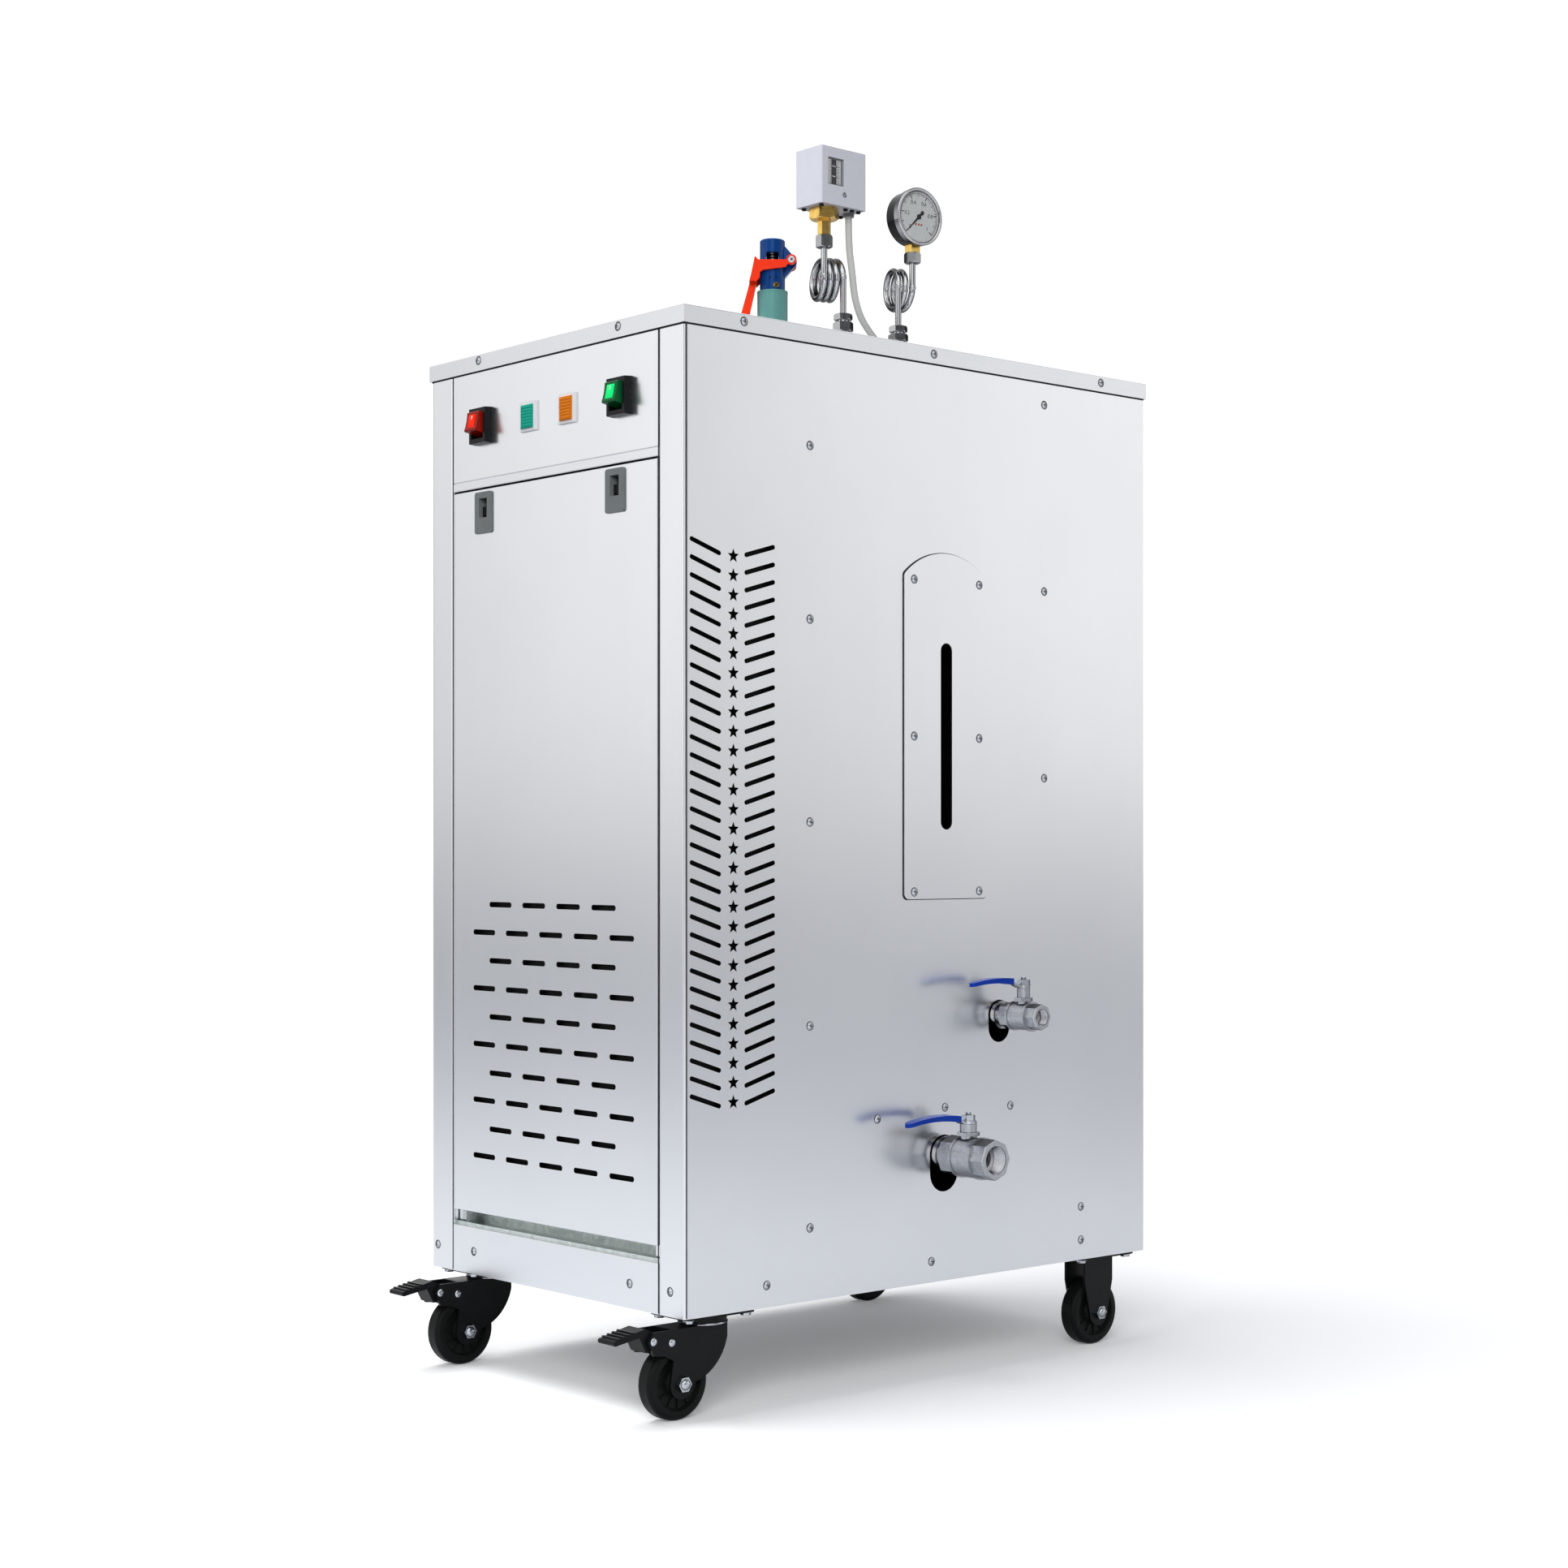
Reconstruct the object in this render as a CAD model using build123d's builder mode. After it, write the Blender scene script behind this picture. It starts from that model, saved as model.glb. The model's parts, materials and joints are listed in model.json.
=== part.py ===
from build123d import *

import os
from math import cos, pi, radians, sin, sqrt, tan

# Electric steam boiler in a stainless sheet cabinet on four casters. Lengths are in millimetres.
# The cabinet is drawn about the middle of its footprint, with the floor at zero, its front
# towards -Y and its valves on the +X side. Heights called rise are taken from the underside of
# the cabinet, or from the lid for what stands on it, and depths called back from the front face.

os.makedirs("parts", exist_ok=True)

# Cabinet
width = 446
depth = 680
body_height = 1000
sheet = 1.5
bend = 1.5
fold_round = 0.9
seam = 0.5
post_width = 41
post_return = 30
post_bend = 3
post_lip = 3.5
pan_plate = 2
pan_flange = 25

# Lid
lid_skirt = 18
lid_gap = 0.9

# Front, from the bottom up
kick_top = 51
kick_return = 30
sill_ledge = 3
sill_depth = 28
sill_lip = 4
sill_back = 40
door_bottom = 68
door_gap = 2
door_return = 15
rail_drop = 145
rail_height = 9.5
rail_return = 20

# Lugs that the access panel stands on
lug_width = 12
lug_thickness = 4
lug_back = 10
lug_overlap = 20
seat_gap = 0.3

# Slots in the access panel
slot_rows = 10
slot_pitch = 30.3
slot_first = 403.3
slot_spacing = 61
slot_length = 41
slot_height = 5.8

# Slide latches on the access panel
latch_insets = (60, 70)
latch_drop = 27.5
latch_width = 31
latch_height = 45
latch_face = 2
latch_corner = 3
latch_wall = 3
latch_depth = 12
window_width = 15
window_height = 21
window_lift = 5

# Rocker switches
rocker_inset = 59
control_drop = 79
housing_width = 31
housing_height = 39
housing_face = 9
housing_body = 22
housing_taper = 4
housing_wall = 4
rocker_width = 21
rocker_pivot_back = 3
rocker_reach = 20
rocker_half_height = 11
rocker_hollow = 1
rocker_edge = 1.5
rocker_turn = 12
rocker_gap = 0.6
pocket_half_height = 14.2

# Signal lamps
lamp_x = (-38, 31)
lamp_width = 28.5
lamp_height = 31
lamp_face = 3
lamp_lens_width = 21
lamp_lens_height = 25
lamp_lens_face = 4.5
lamp_body = 12
lamp_round = 1

# Vents in the side panels
vent_rows = 32
vent_pitch = 17.75
vent_first = 763.8
vent_backs = (26.8, 97.6)
vent_slopes = (-18.3, 16)
vent_length = 42
vent_height = 4.8
star_back = 62.9
star_count = 29
star_pitch = 19.5
star_first = 756.4
star_radius = 7.6
star_waist = 3.3

# Water gauge behind its cover plate
cover_back = 359.5
cover_width = 124
cover_length = 345
cover_drop = 245
cover_crown = 25
cover_plate = 2
cover_corner = 6
sight_width = 17
sight_head = 71
sight_foot = 74
sight_margin = 12
level_tube_radius = 6
level_inset = 26
level_fitting = 24
level_pipe = 7

# Boiler drum
drum_gap = 61
drum_wall = 5
drum_back = 400
drum_bottom = 60
drum_room = 130
drum_dish = 38
skirt_inset = 22
skirt_wall = 3

# Drain valve and feed valve. Each has a slotted hole in the panel, its collar's radius and a
# clearance wide, that runs down from the pipe. The lever is cranked up to its sleeve, arched
# at its middle and ends at its tip, all above the level part at its stem.
drain = dict(back=357.6, rise=136, collar=19.5, hole_drop=19.5, pipe=16.7, bore=15.1, body=21.5)
drain.update(flats=40, reach=78, thread=20, stem_x=37, neck=9, lever_rise=42)
drain.update(lever=92, lever_width=20, sleeve=20, crank=5, arch=6.9, tip=1.8)
feed = dict(back=442, rise=282, collar=15, hole_drop=13.8, pipe=10.6, bore=9.3, body=15)
feed.update(flats=26, reach=65, thread=15, stem_x=37, neck=7, lever_rise=37)
feed.update(lever=82, lever_width=16, sleeve=22.7, crank=6.5, arch=7.8, tip=4.1)
valve_start = 10
valve_ridge = 1.2
valve_ridge_width = 2.4
valve_chamfer = 1
collar_out = 1.5
collar_width = 5
collar_gap = 1.3
gland_flats = 4
lever_plate = 2.5
lever_bend = 1
arch_place = 0.62
sleeve_root = 7
sleeve_end = 4
sleeve_taper = 0.6
sleeve_cap = 5
sleeve_round = 1
stem_radius = 4.5
stem_nut = 13
pin_gap = 0.15

# Casters
caster_height = 105
caster_inset = 35
front_caster_back = 52
rear_caster_inset = 55
wheel_radius = 37.5
wheel_width = 22
wheel_trail = 39
hub_radius = 12
hub_width = 25
hub_step = 3
web_inset = 4
web_reach = 0.68
rim_reach = 0.74
tyre_side = 5
tyre_top = 7
tyre_bulge = (2, 1.4)
axle_radius = 5
axle_head = 14
axle_head_depth = 5
plate_width = 62
plate_length = 90
plate_thickness = 3
plate_corner = 6
cup_radius = 25
cup_depth = 9
cup_taper = 8
crown = 3
fork_width = 32
leg = 3
leg_hub = 15
kingpin_head = 9
kingpin_head_depth = 4
rigid_leg_width = 46
rigid_leg_waist = 32

# Outline of a fork's leg, from the swivel axis to the rear and down from the cabinet's underside
leg_nose = (-50, -43)
leg_brow = (-62, -37)
leg_rear = 19
leg_rear_drop = 26
leg_belly = (8, -49)
crown_length = 70

# Brake pedal, from the swivel axis forwards and from the cabinet's underside down
pedal_pivot_y = -75
pedal_pivot_z = -21.5
pedal_pin = 3.5
pedal_ear = 7
pedal_block_width = 24
pedal_width = 26
pedal_tip = -122
pedal_tip_z = -16
pedal_root_z = -8
pedal_thickness = 5
pedal_block_rear = 9
pedal_block_front = -16
pedal_block_bottom = -32
pedal_block_top = -15
pedal_drop = 2
pedal_lap = 9
pedal_round = 2
pedal_ribs = 4
pedal_rib_pitch = 6
pedal_rib_width = 2.4
pedal_rib_height = 1.2

# Fittings on the lid, their heights taken from its top
safety_back = 307
safety_body_radius = 17.2
safety_bonnet_radius = 14.2
safety_body_top = 89.6
safety_window = 123
safety_cap = 132
safety_top = 147.5
safety_flats = 32
safety_pivot = 21.4
safety_pivot_rise = 122.4
safety_round = 2
lug_half_height = 17.5
lug_radius = 6
lug_half_width = 5
pivot_pin = 2
lever_turn = 48.95
fork_arm = 3.5
fork_gap = 0.8
fork_throat = -18
fork_length = 80
handle_width = 12
handle_drop = 24

# Outline of the easing lever, across from the valve's axis and up from its pivot
easing_boss = 5.7
easing_hook = ((-15.8, 0), (-19.6, 4.3))
easing_back = ((-23.6, -15), (-28.3, -33.5), (-40.1, -76))
easing_front = ((-29.6, -76), (-20, -33.5), (-18, -24.2), (-14.3, -20.5))
easing_under = ((-13.8, -14), (-10.3, -11.5), (14.5, -8.4))
easing_round = 0.8

siphon_tube = 3.75
siphon_weld = 4.2
siphon_radius = 22
coil_turn = 70.95
siphon_flats = 17.5
foot_flats = 21
foot_nut_flats = 19.5
foot_nut_low = 58.6
foot_nut_thin = 7
siphon_waist = 2.5
siphon_waist_radius = 7
nut_corner = 1.3
nipple_radius = 8
lock_nut_flats = 24
lock_nut_height = 6

# Siphons: place, height of the coil's axis, turns, pitch and way of stepping, nuts
switch_pipe = dict(back=414.5, coil_rise=121.6, turns=3, pitch=7.9, way=-1)
switch_pipe.update(foot_high=78.7, nut_low=153.6, nut_high=167.6, nut_turn=0)
gauge_pipe = dict(back=502, coil_rise=123.4, turns=2, pitch=9.2, way=1)
gauge_pipe.update(foot_high=76.2, nut_low=151.8, nut_high=163.8, nut_turn=-22)

# Pressure switch
switch_neck_flats = 13.5
bellows_radius = 17.5
bellows_bottom = 185
bellows_round = 4
bellows_collar = 1.5
bellows_inset = 3
case_bottom = 198.5
case_width = 45
case_length = 69
case_height = 65.3
case_shift = 10.5
case_corner = 2
case_window = (24, 31)
case_window_at = (-12.3, 5.2)
case_window_depth = 3

# Pressure gauge, turned a little from the side towards the front
gauge_rise = 204.4
gauge_turn = -4.4
gauge_radius = 32
gauge_depth = 26
gauge_edge = 3
bezel_radius = 33.8
bezel_depth = 8
bezel_rim = 4
bezel_round = 1.6
dial_inset = 3.5
gauge_stem = 12.7

# Wiring conduit from the pressure switch to the lid
conduit_radius = 4
gland_radius = 6.5
gland_height = 4
gland_shift = 27.5
lid_gland = (-31.4, 187)
conduit_drop = 162
conduit_path = ((-7, 95, 132), (-8, 99.5, 104), (-11.7, 112.5, 81.5), (-17, 133, 67.5))
conduit_path = conduit_path + ((-23, 155, 55.5), (-27.8, 174, 41))
conduit_landing = 23

# Worked-out places
side_x = width / 2
front_y = -depth / 2
rear_y = depth / 2
base_z = caster_height
top_z = base_z + body_height
under_lid = top_z - sheet
rail_bottom = body_height - rail_drop
control_rise = body_height - control_drop
latch_rise = rail_bottom - latch_drop
cover_shoulder = body_height - cover_drop
cover_bottom = cover_shoulder - cover_length
sight_top = cover_shoulder - sight_head
sight_bottom = cover_bottom + sight_foot
sight_length = sight_top - sight_bottom
sight_rise = (sight_top + sight_bottom) / 2
drum_top = body_height - drum_room
opening = width - 2 * post_width
half_opening = opening / 2
rocker_x = (rocker_inset - half_opening, half_opening - rocker_inset)
latch_x = (latch_insets[0] - half_opening, half_opening - latch_insets[1])
drum_radius = side_x - drum_gap
skirt_radius = drum_radius - skirt_inset
lid_reach = lid_gap + sheet

# The row's origin is under the middle of everything, on the floor.
reach_right = side_x + drain["reach"]
reach_left = side_x + lid_reach
reach_front = -front_y - front_caster_back - pedal_tip
reach_rear = rear_y + lid_reach
origin = Vector((reach_right - reach_left) / 2, (reach_rear - reach_front) / 2, 0)

front_plane = Plane.XZ.offset(-front_y)


def save(piece, name):
    """Name a finished piece and write it about the row's origin."""
    piece.part.label = name
    placed = piece.part.moved(Location(-origin))
    placed.label = name
    export_step(placed, f"parts/{name}.step")


def lid_place(back):
    """A place on the cabinet's middle line, by its distance behind the front face."""
    return Vector(0, front_y + back)


# Base and frame

with BuildPart() as base_pan:
    inner = side_x - sheet
    with BuildSketch(Plane.XY.offset(base_z)):
        with Locations((0, 0)):
            Rectangle(2 * inner, depth - 2 * sheet)
    extrude(amount=pan_flange)
    with BuildSketch(Plane.XY.offset(base_z + pan_plate)):
        with Locations((0, -sheet)):
            Rectangle(2 * (inner - sheet), depth - 2 * sheet)
    extrude(amount=pan_flange, mode=Mode.SUBTRACT)
    with BuildSketch(Plane.XY.offset(base_z + pan_plate)):
        with Locations((0, front_y)):
            Rectangle(2 * side_x, 2 * post_return)
    extrude(amount=pan_flange, mode=Mode.SUBTRACT)
save(base_pan, "base_pan")

with BuildPart() as front_posts:
    post_middle = side_x - post_width / 2
    for side in (-1, 1):
        with BuildSketch(Plane.XY.offset(base_z)):
            with Locations((side * post_middle, front_y + sheet / 2)):
                Rectangle(post_width, sheet)
            with Locations((side * (side_x - sheet / 2), front_y + post_lip / 2)):
                Rectangle(sheet, post_lip)
        extrude(amount=under_lid - base_z)
        with BuildSketch(Plane.XY.offset(base_z + pan_plate)):
            with Locations((side * (half_opening + sheet / 2), front_y + post_return / 2)):
                Rectangle(sheet, post_return)
        extrude(amount=under_lid - base_z - pan_plate)
    fillet(front_posts.edges().filter_by(Axis.Z).group_by(Axis.Y)[0], post_bend)
save(front_posts, "front_posts")

with BuildPart() as rear_panel:
    with BuildSketch(Plane.XZ.offset(-rear_y)):
        with Locations((0, (base_z + under_lid) / 2)):
            Rectangle(2 * (side_x - sheet), under_lid - base_z)
    extrude(amount=sheet)
save(rear_panel, "rear_panel")


# Side panels and their vents

def star_outline():
    """A five-pointed star with its point up, as a closed outline."""
    corners = []
    for step in range(10):
        reach = star_waist if step % 2 else star_radius
        turn = radians(90 + 36 * step)
        corners.append((reach * cos(turn), reach * sin(turn)))
    Polyline(*corners, close=True)


def side_plane(side):
    """The outer face of a side panel, drawn with +x to the rear and +y up."""
    if side > 0:
        return Plane(origin=(side_x, front_y, base_z), x_dir=(0, 1, 0), z_dir=(1, 0, 0))
    return Plane(origin=(-side_x + sheet, front_y, base_z), x_dir=(0, 1, 0), z_dir=(1, 0, 0))


def side_panel(side):
    """One flat side of the cabinet with its herringbone of slots and its column of stars."""
    face = side_plane(side)
    panel_height = under_lid - base_z
    with BuildPart() as panel:
        with BuildSketch(face):
            panel_start = post_lip + seam
            with Locations(((depth + panel_start) / 2, panel_height / 2)):
                Rectangle(depth - panel_start, panel_height)
            for back, slope in zip(vent_backs, vent_slopes):
                rises = [vent_first - vent_pitch * row for row in range(vent_rows)]
                with Locations(*[Location((back, rise), slope) for rise in rises]):
                    SlotOverall(vent_length, vent_height, mode=Mode.SUBTRACT)
            with BuildLine() as star:
                star_outline()
            rises = [star_first - star_pitch * row for row in range(star_count)]
            with Locations(*[(star_back, rise) for rise in rises]):
                add(make_face(star.edges(), mode=Mode.PRIVATE), mode=Mode.SUBTRACT)
            if side > 0:
                for valve in (drain, feed):
                    drop = valve["hole_drop"]
                    with Locations((valve["back"], valve["rise"] - drop / 2)):
                        hole = valve["collar"] + collar_gap
                        SlotCenterToCenter(drop, 2 * hole, rotation=90, mode=Mode.SUBTRACT)
                window_size = (sight_width + 2 * sight_margin, sight_length + 2 * sight_margin)
                with Locations((cover_back, sight_rise)):
                    Rectangle(*window_size, mode=Mode.SUBTRACT)
        extrude(amount=-sheet)
    return panel


save(side_panel(1), "side_panel_right")
save(side_panel(-1), "side_panel_left")

with BuildPart() as lid:
    with BuildSketch(Plane.XY.offset(top_z - lid_skirt)):
        Rectangle(width + 2 * lid_reach, depth + 2 * lid_reach)
    extrude(amount=lid_skirt)
    fillet(lid.edges().group_by(Axis.Z)[-1], bend)
    with BuildSketch(Plane.XY.offset(top_z - lid_skirt)):
        Rectangle(width + 2 * lid_gap, depth + 2 * lid_gap)
    extrude(amount=lid_skirt - sheet, mode=Mode.SUBTRACT)
save(lid, "lid")


# Fixed pieces of the front

def folded_panel(panel, left, right, low, high, returns):
    """Make a sheet panel in the cabinet's front, with its four edges folded back."""
    middle = ((left + right) / 2, (low + high) / 2)
    with BuildSketch(front_plane) as outside:
        with Locations(middle):
            Rectangle(right - left, high - low)
    extrude(outside.sketch, amount=-returns)
    fillet(panel.edges().group_by(Axis.Y)[0], fold_round)
    with BuildSketch(front_plane.offset(-sheet)) as inside:
        with Locations(middle):
            Rectangle(right - left - 2 * sheet, high - low - 2 * sheet)
    extrude(inside.sketch, amount=-returns, mode=Mode.SUBTRACT)


rail_top = base_z + rail_bottom + rail_height

with BuildPart() as kick_rail:
    with BuildSketch(Plane.YZ.offset(-half_opening)):
        with BuildLine():
            Polyline(
                (front_y, base_z),
                (front_y, base_z + kick_top),
                (front_y + kick_return, base_z + kick_top),
                (front_y + kick_return, base_z + kick_top - sheet),
                (front_y + sheet, base_z + kick_top - sheet),
                (front_y + sheet, base_z),
                close=True,
            )
        make_face()
    extrude(amount=opening)
    fillet(kick_rail.edges().filter_by(Axis.X).group_by(Axis.Y)[0].sort_by(Axis.Z)[-1], fold_round)
save(kick_rail, "kick_rail")

with BuildPart() as sill_channel:
    ledge_z = base_z + kick_top
    ledge_y = front_y + sill_ledge
    back_y = front_y + sill_depth
    with BuildSketch(Plane.YZ.offset(-half_opening)):
        with BuildLine():
            Polyline(
                (ledge_y, ledge_z),
                (ledge_y, ledge_z + sill_lip),
                (ledge_y + sheet, ledge_z + sill_lip),
                (ledge_y + sheet, ledge_z + sheet),
                (back_y - sheet, ledge_z + sheet),
                (back_y - sheet, ledge_z + sill_back),
                (back_y, ledge_z + sill_back),
                (back_y, ledge_z),
                close=True,
            )
        make_face()
    extrude(amount=opening)
save(sill_channel, "sill_channel")

with BuildPart() as cross_rail:
    with BuildSketch(front_plane):
        with Locations((0, base_z + rail_bottom + rail_height / 2)):
            Rectangle(opening, rail_height)
    extrude(amount=-rail_return)
    fillet(cross_rail.edges().filter_by(Axis.X).group_by(Axis.Y)[0], fold_round)
    with BuildSketch(front_plane.offset(-sheet)):
        with Locations((0, base_z + rail_bottom + rail_height / 2)):
            Rectangle(opening, rail_height - 2 * sheet)
    extrude(amount=-rail_return, mode=Mode.SUBTRACT)
save(cross_rail, "cross_rail")

control_z = base_z + control_rise
with BuildPart() as control_panel:
    folded_panel(control_panel, -half_opening + seam, half_opening - seam, rail_top, under_lid, door_return)
    with BuildSketch(front_plane):
        with Locations(*[(x, control_z) for x in rocker_x]):
            Rectangle(housing_width - 2 * sheet, housing_height - 2 * sheet)
        with Locations(*[(x, control_z) for x in lamp_x]):
            Rectangle(lamp_lens_width, lamp_lens_height)
    extrude(amount=-sheet, mode=Mode.SUBTRACT)
save(control_panel, "control_panel")

with BuildPart() as switch_housings:
    pocket_width = rocker_width + 2 * rocker_gap
    for x in rocker_x:
        with BuildSketch(front_plane):
            with Locations((x, control_z)):
                Rectangle(housing_width, housing_height)
        extrude(amount=housing_face, taper=housing_taper)
        with BuildSketch(front_plane):
            with Locations((x, control_z)):
                Rectangle(housing_width - 2 * sheet, housing_height - 2 * sheet)
        extrude(amount=-housing_body)
        with BuildSketch(front_plane.offset(housing_face)):
            with Locations((x, control_z)):
                Rectangle(pocket_width, 2 * pocket_half_height)
        extrude(amount=-housing_face - housing_body + housing_wall, mode=Mode.SUBTRACT)
save(switch_housings, "switch_housings")

with BuildPart() as lamp_bezels:
    for x in lamp_x:
        with BuildSketch(front_plane):
            with Locations((x, control_z)):
                Rectangle(lamp_width, lamp_height)
                Rectangle(lamp_lens_width, lamp_lens_height, mode=Mode.SUBTRACT)
        extrude(amount=lamp_face)
save(lamp_bezels, "lamp_bezels")

for x, colour in zip(lamp_x, ("green", "amber")):
    with BuildPart() as lens:
        with BuildSketch(front_plane.offset(-lamp_body)):
            with Locations((x, control_z)):
                Rectangle(lamp_lens_width, lamp_lens_height)
        extrude(amount=lamp_body + lamp_lens_face)
        fillet(lens.edges().group_by(Axis.Y)[0], lamp_round)
    save(lens, f"lamp_lens_{colour}")


# Access panel, which tilts out on two lugs that stand in the sill channel

door_side = half_opening - door_gap
door_low = base_z + door_bottom
door_high = base_z + rail_bottom - door_gap
lug_foot = base_z + kick_top + sheet + seat_gap
tilt_z = lug_foot + lug_thickness / 2
tilt_y = front_y + lug_back

with BuildPart() as access_panel:
    folded_panel(access_panel, -door_side, door_side, door_low, door_high, door_return)
    for row in range(slot_rows):
        count = 4 + row % 2
        with BuildSketch(front_plane):
            with Locations((0, base_z + slot_first - slot_pitch * row)):
                with GridLocations(slot_spacing, 1, count, 1):
                    SlotOverall(slot_length, slot_height)
        extrude(amount=-sheet, mode=Mode.SUBTRACT)
    latch_z = base_z + latch_rise
    with BuildSketch(front_plane):
        with Locations(*[(x, latch_z) for x in latch_x]):
            Rectangle(latch_width - 2 * latch_wall, latch_height - 2 * latch_wall)
    extrude(amount=-sheet, mode=Mode.SUBTRACT)
    for side in (-1, 1):
        with BuildSketch(Plane.YZ.offset(side * door_side)):
            with BuildLine():
                Polyline(
                    (tilt_y - lug_thickness / 2, tilt_z),
                    (tilt_y - lug_thickness / 2, door_low + lug_overlap),
                    (tilt_y + lug_thickness / 2, door_low + lug_overlap),
                    (tilt_y + lug_thickness / 2, tilt_z),
                )
                ThreePointArc(
                    (tilt_y + lug_thickness / 2, tilt_z),
                    (tilt_y, lug_foot),
                    (tilt_y - lug_thickness / 2, tilt_z),
                )
            make_face()
        extrude(amount=-side * lug_width)
save(access_panel, "access_panel")

with BuildPart() as latch_plates:
    for x in latch_x:
        with BuildSketch(front_plane):
            with Locations((x, latch_z)):
                RectangleRounded(latch_width, latch_height, latch_corner)
        extrude(amount=latch_face)
        with BuildSketch(front_plane):
            with Locations((x, latch_z)):
                Rectangle(latch_width - 2 * latch_wall, latch_height - 2 * latch_wall)
        extrude(amount=-latch_depth)
        with BuildSketch(front_plane.offset(latch_face)):
            with Locations((x, latch_z + window_lift)):
                Rectangle(window_width, window_height)
        extrude(amount=-latch_face - latch_depth + latch_wall, mode=Mode.SUBTRACT)
save(latch_plates, "latch_plates")

for x, colour in zip(rocker_x, ("red", "green")):
    pivot = Vector(x - rocker_width / 2, front_y + rocker_pivot_back, control_z)
    tilt = (0, cos(radians(rocker_turn)), -sin(radians(rocker_turn)))
    with BuildPart() as rocker:
        with BuildSketch(Plane(origin=pivot, x_dir=tilt, z_dir=(1, 0, 0))):
            with BuildLine():
                Line((0, rocker_half_height), (-rocker_reach, rocker_half_height))
                ThreePointArc(
                    (-rocker_reach, rocker_half_height),
                    (-rocker_reach + rocker_hollow, 0),
                    (-rocker_reach, -rocker_half_height),
                )
                Line((-rocker_reach, -rocker_half_height), (0, -rocker_half_height))
                ThreePointArc(
                    (0, -rocker_half_height),
                    (rocker_half_height, 0),
                    (0, rocker_half_height),
                )
            make_face()
        extrude(amount=rocker_width)
        fillet(rocker.edges().filter_by(Axis.X).sort_by(Axis.Y)[:2], rocker_edge)
    save(rocker, f"rocker_{colour}")


# Water gauge and its cover plate on the right side

with BuildPart() as sight_cover:
    half_cover = cover_width / 2
    with BuildSketch(side_plane(1)):
        with BuildLine():
            Polyline(
                (cover_back - half_cover, cover_shoulder),
                (cover_back - half_cover, cover_bottom),
                (cover_back + half_cover, cover_bottom),
                (cover_back + half_cover, cover_shoulder),
            )
            ThreePointArc(
                (cover_back + half_cover, cover_shoulder),
                (cover_back, cover_shoulder + cover_crown),
                (cover_back - half_cover, cover_shoulder),
            )
        cover_face = make_face()
        fillet(cover_face.vertices(), cover_corner)
        with Locations((cover_back, sight_rise)):
            SlotOverall(sight_length, sight_width, rotation=90, mode=Mode.SUBTRACT)
    extrude(amount=cover_plate)
save(sight_cover, "sight_cover")

drum_y = front_y + drum_back
level_x = side_x - level_inset
level_y = front_y + cover_back
level_low = base_z + sight_rise - sight_length / 2 - level_fitting
level_high = base_z + sight_rise + sight_length / 2 + level_fitting

with BuildPart() as level_glass:
    with BuildSketch(Plane.XY.offset(level_low)):
        with Locations((level_x, level_y)):
            Circle(level_tube_radius)
            Circle(level_tube_radius - sheet, mode=Mode.SUBTRACT)
    extrude(amount=level_high - level_low)
save(level_glass, "level_glass")


def drum_wall_x(y):
    """How far out the drum's round wall lies at a given depth."""
    return sqrt(drum_radius ** 2 - (y - drum_y) ** 2)


with BuildPart() as level_fittings:
    for z, facing in ((level_low, -1), (level_high, 1)):
        with BuildSketch(Plane.XY.offset(z)):
            with Locations((level_x, level_y)):
                RegularPolygon(level_fitting / 2, 6, major_radius=False)
        extrude(amount=facing * level_fitting)
        with BuildSketch(Plane.YZ.offset(drum_wall_x(level_y) - drum_wall)):
            with Locations((level_y, z + facing * level_fitting / 2)):
                Circle(level_pipe)
        extrude(amount=level_x - drum_wall_x(level_y) + drum_wall)
save(level_fittings, "level_fittings")


# Boiler drum

def drum_solid(radius, low, high, dish):
    """A closed round vessel with dished ends, standing on its axis."""
    with BuildPart() as vessel:
        with BuildSketch(Plane.XZ):
            crown_radius = (radius ** 2 + dish ** 2) / (2 * dish)
            shoulder = radius / 2
            sag = crown_radius - sqrt(crown_radius ** 2 - shoulder ** 2)
            with BuildLine():
                Line((0, low), (0, high))
                ThreePointArc((0, high), (shoulder, high - sag), (radius, high - dish))
                Line((radius, high - dish), (radius, low + dish))
                ThreePointArc((radius, low + dish), (shoulder, low + sag), (0, low))
            make_face()
        revolve(axis=Axis.Z)
    return vessel.part


with BuildPart() as boiler_drum:
    low = base_z + drum_bottom
    high = base_z + drum_top
    hollow = drum_solid(drum_radius - drum_wall, low + drum_wall, high - drum_wall, drum_dish)
    with Locations((0, drum_y)):
        add(drum_solid(drum_radius, low, high, drum_dish))
        add(hollow, mode=Mode.SUBTRACT)
    for z in (level_low - level_fitting / 2, level_high + level_fitting / 2):
        with BuildSketch(Plane.YZ):
            with Locations((level_y, z)):
                Circle(level_pipe)
        extrude(amount=drum_radius, mode=Mode.SUBTRACT)
    for valve in (drain, feed):
        with BuildSketch(Plane.YZ):
            with Locations((front_y + valve["back"], base_z + valve["rise"])):
                Circle(valve["pipe"])
        extrude(amount=drum_radius, mode=Mode.SUBTRACT)
save(boiler_drum, "boiler_drum")

with BuildPart() as drum_skirt:
    with BuildSketch(Plane.XY.offset(base_z + pan_plate)):
        with Locations((0, drum_y)):
            Circle(skirt_radius)
            Circle(skirt_radius - skirt_wall, mode=Mode.SUBTRACT)
    extrude(amount=drum_bottom + drum_dish)
    with Locations((0, drum_y)):
        add(drum_solid(drum_radius, base_z + drum_bottom, base_z + drum_top, drum_dish), mode=Mode.SUBTRACT)
save(drum_skirt, "drum_skirt")


# Drain valve and feed valve

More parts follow.
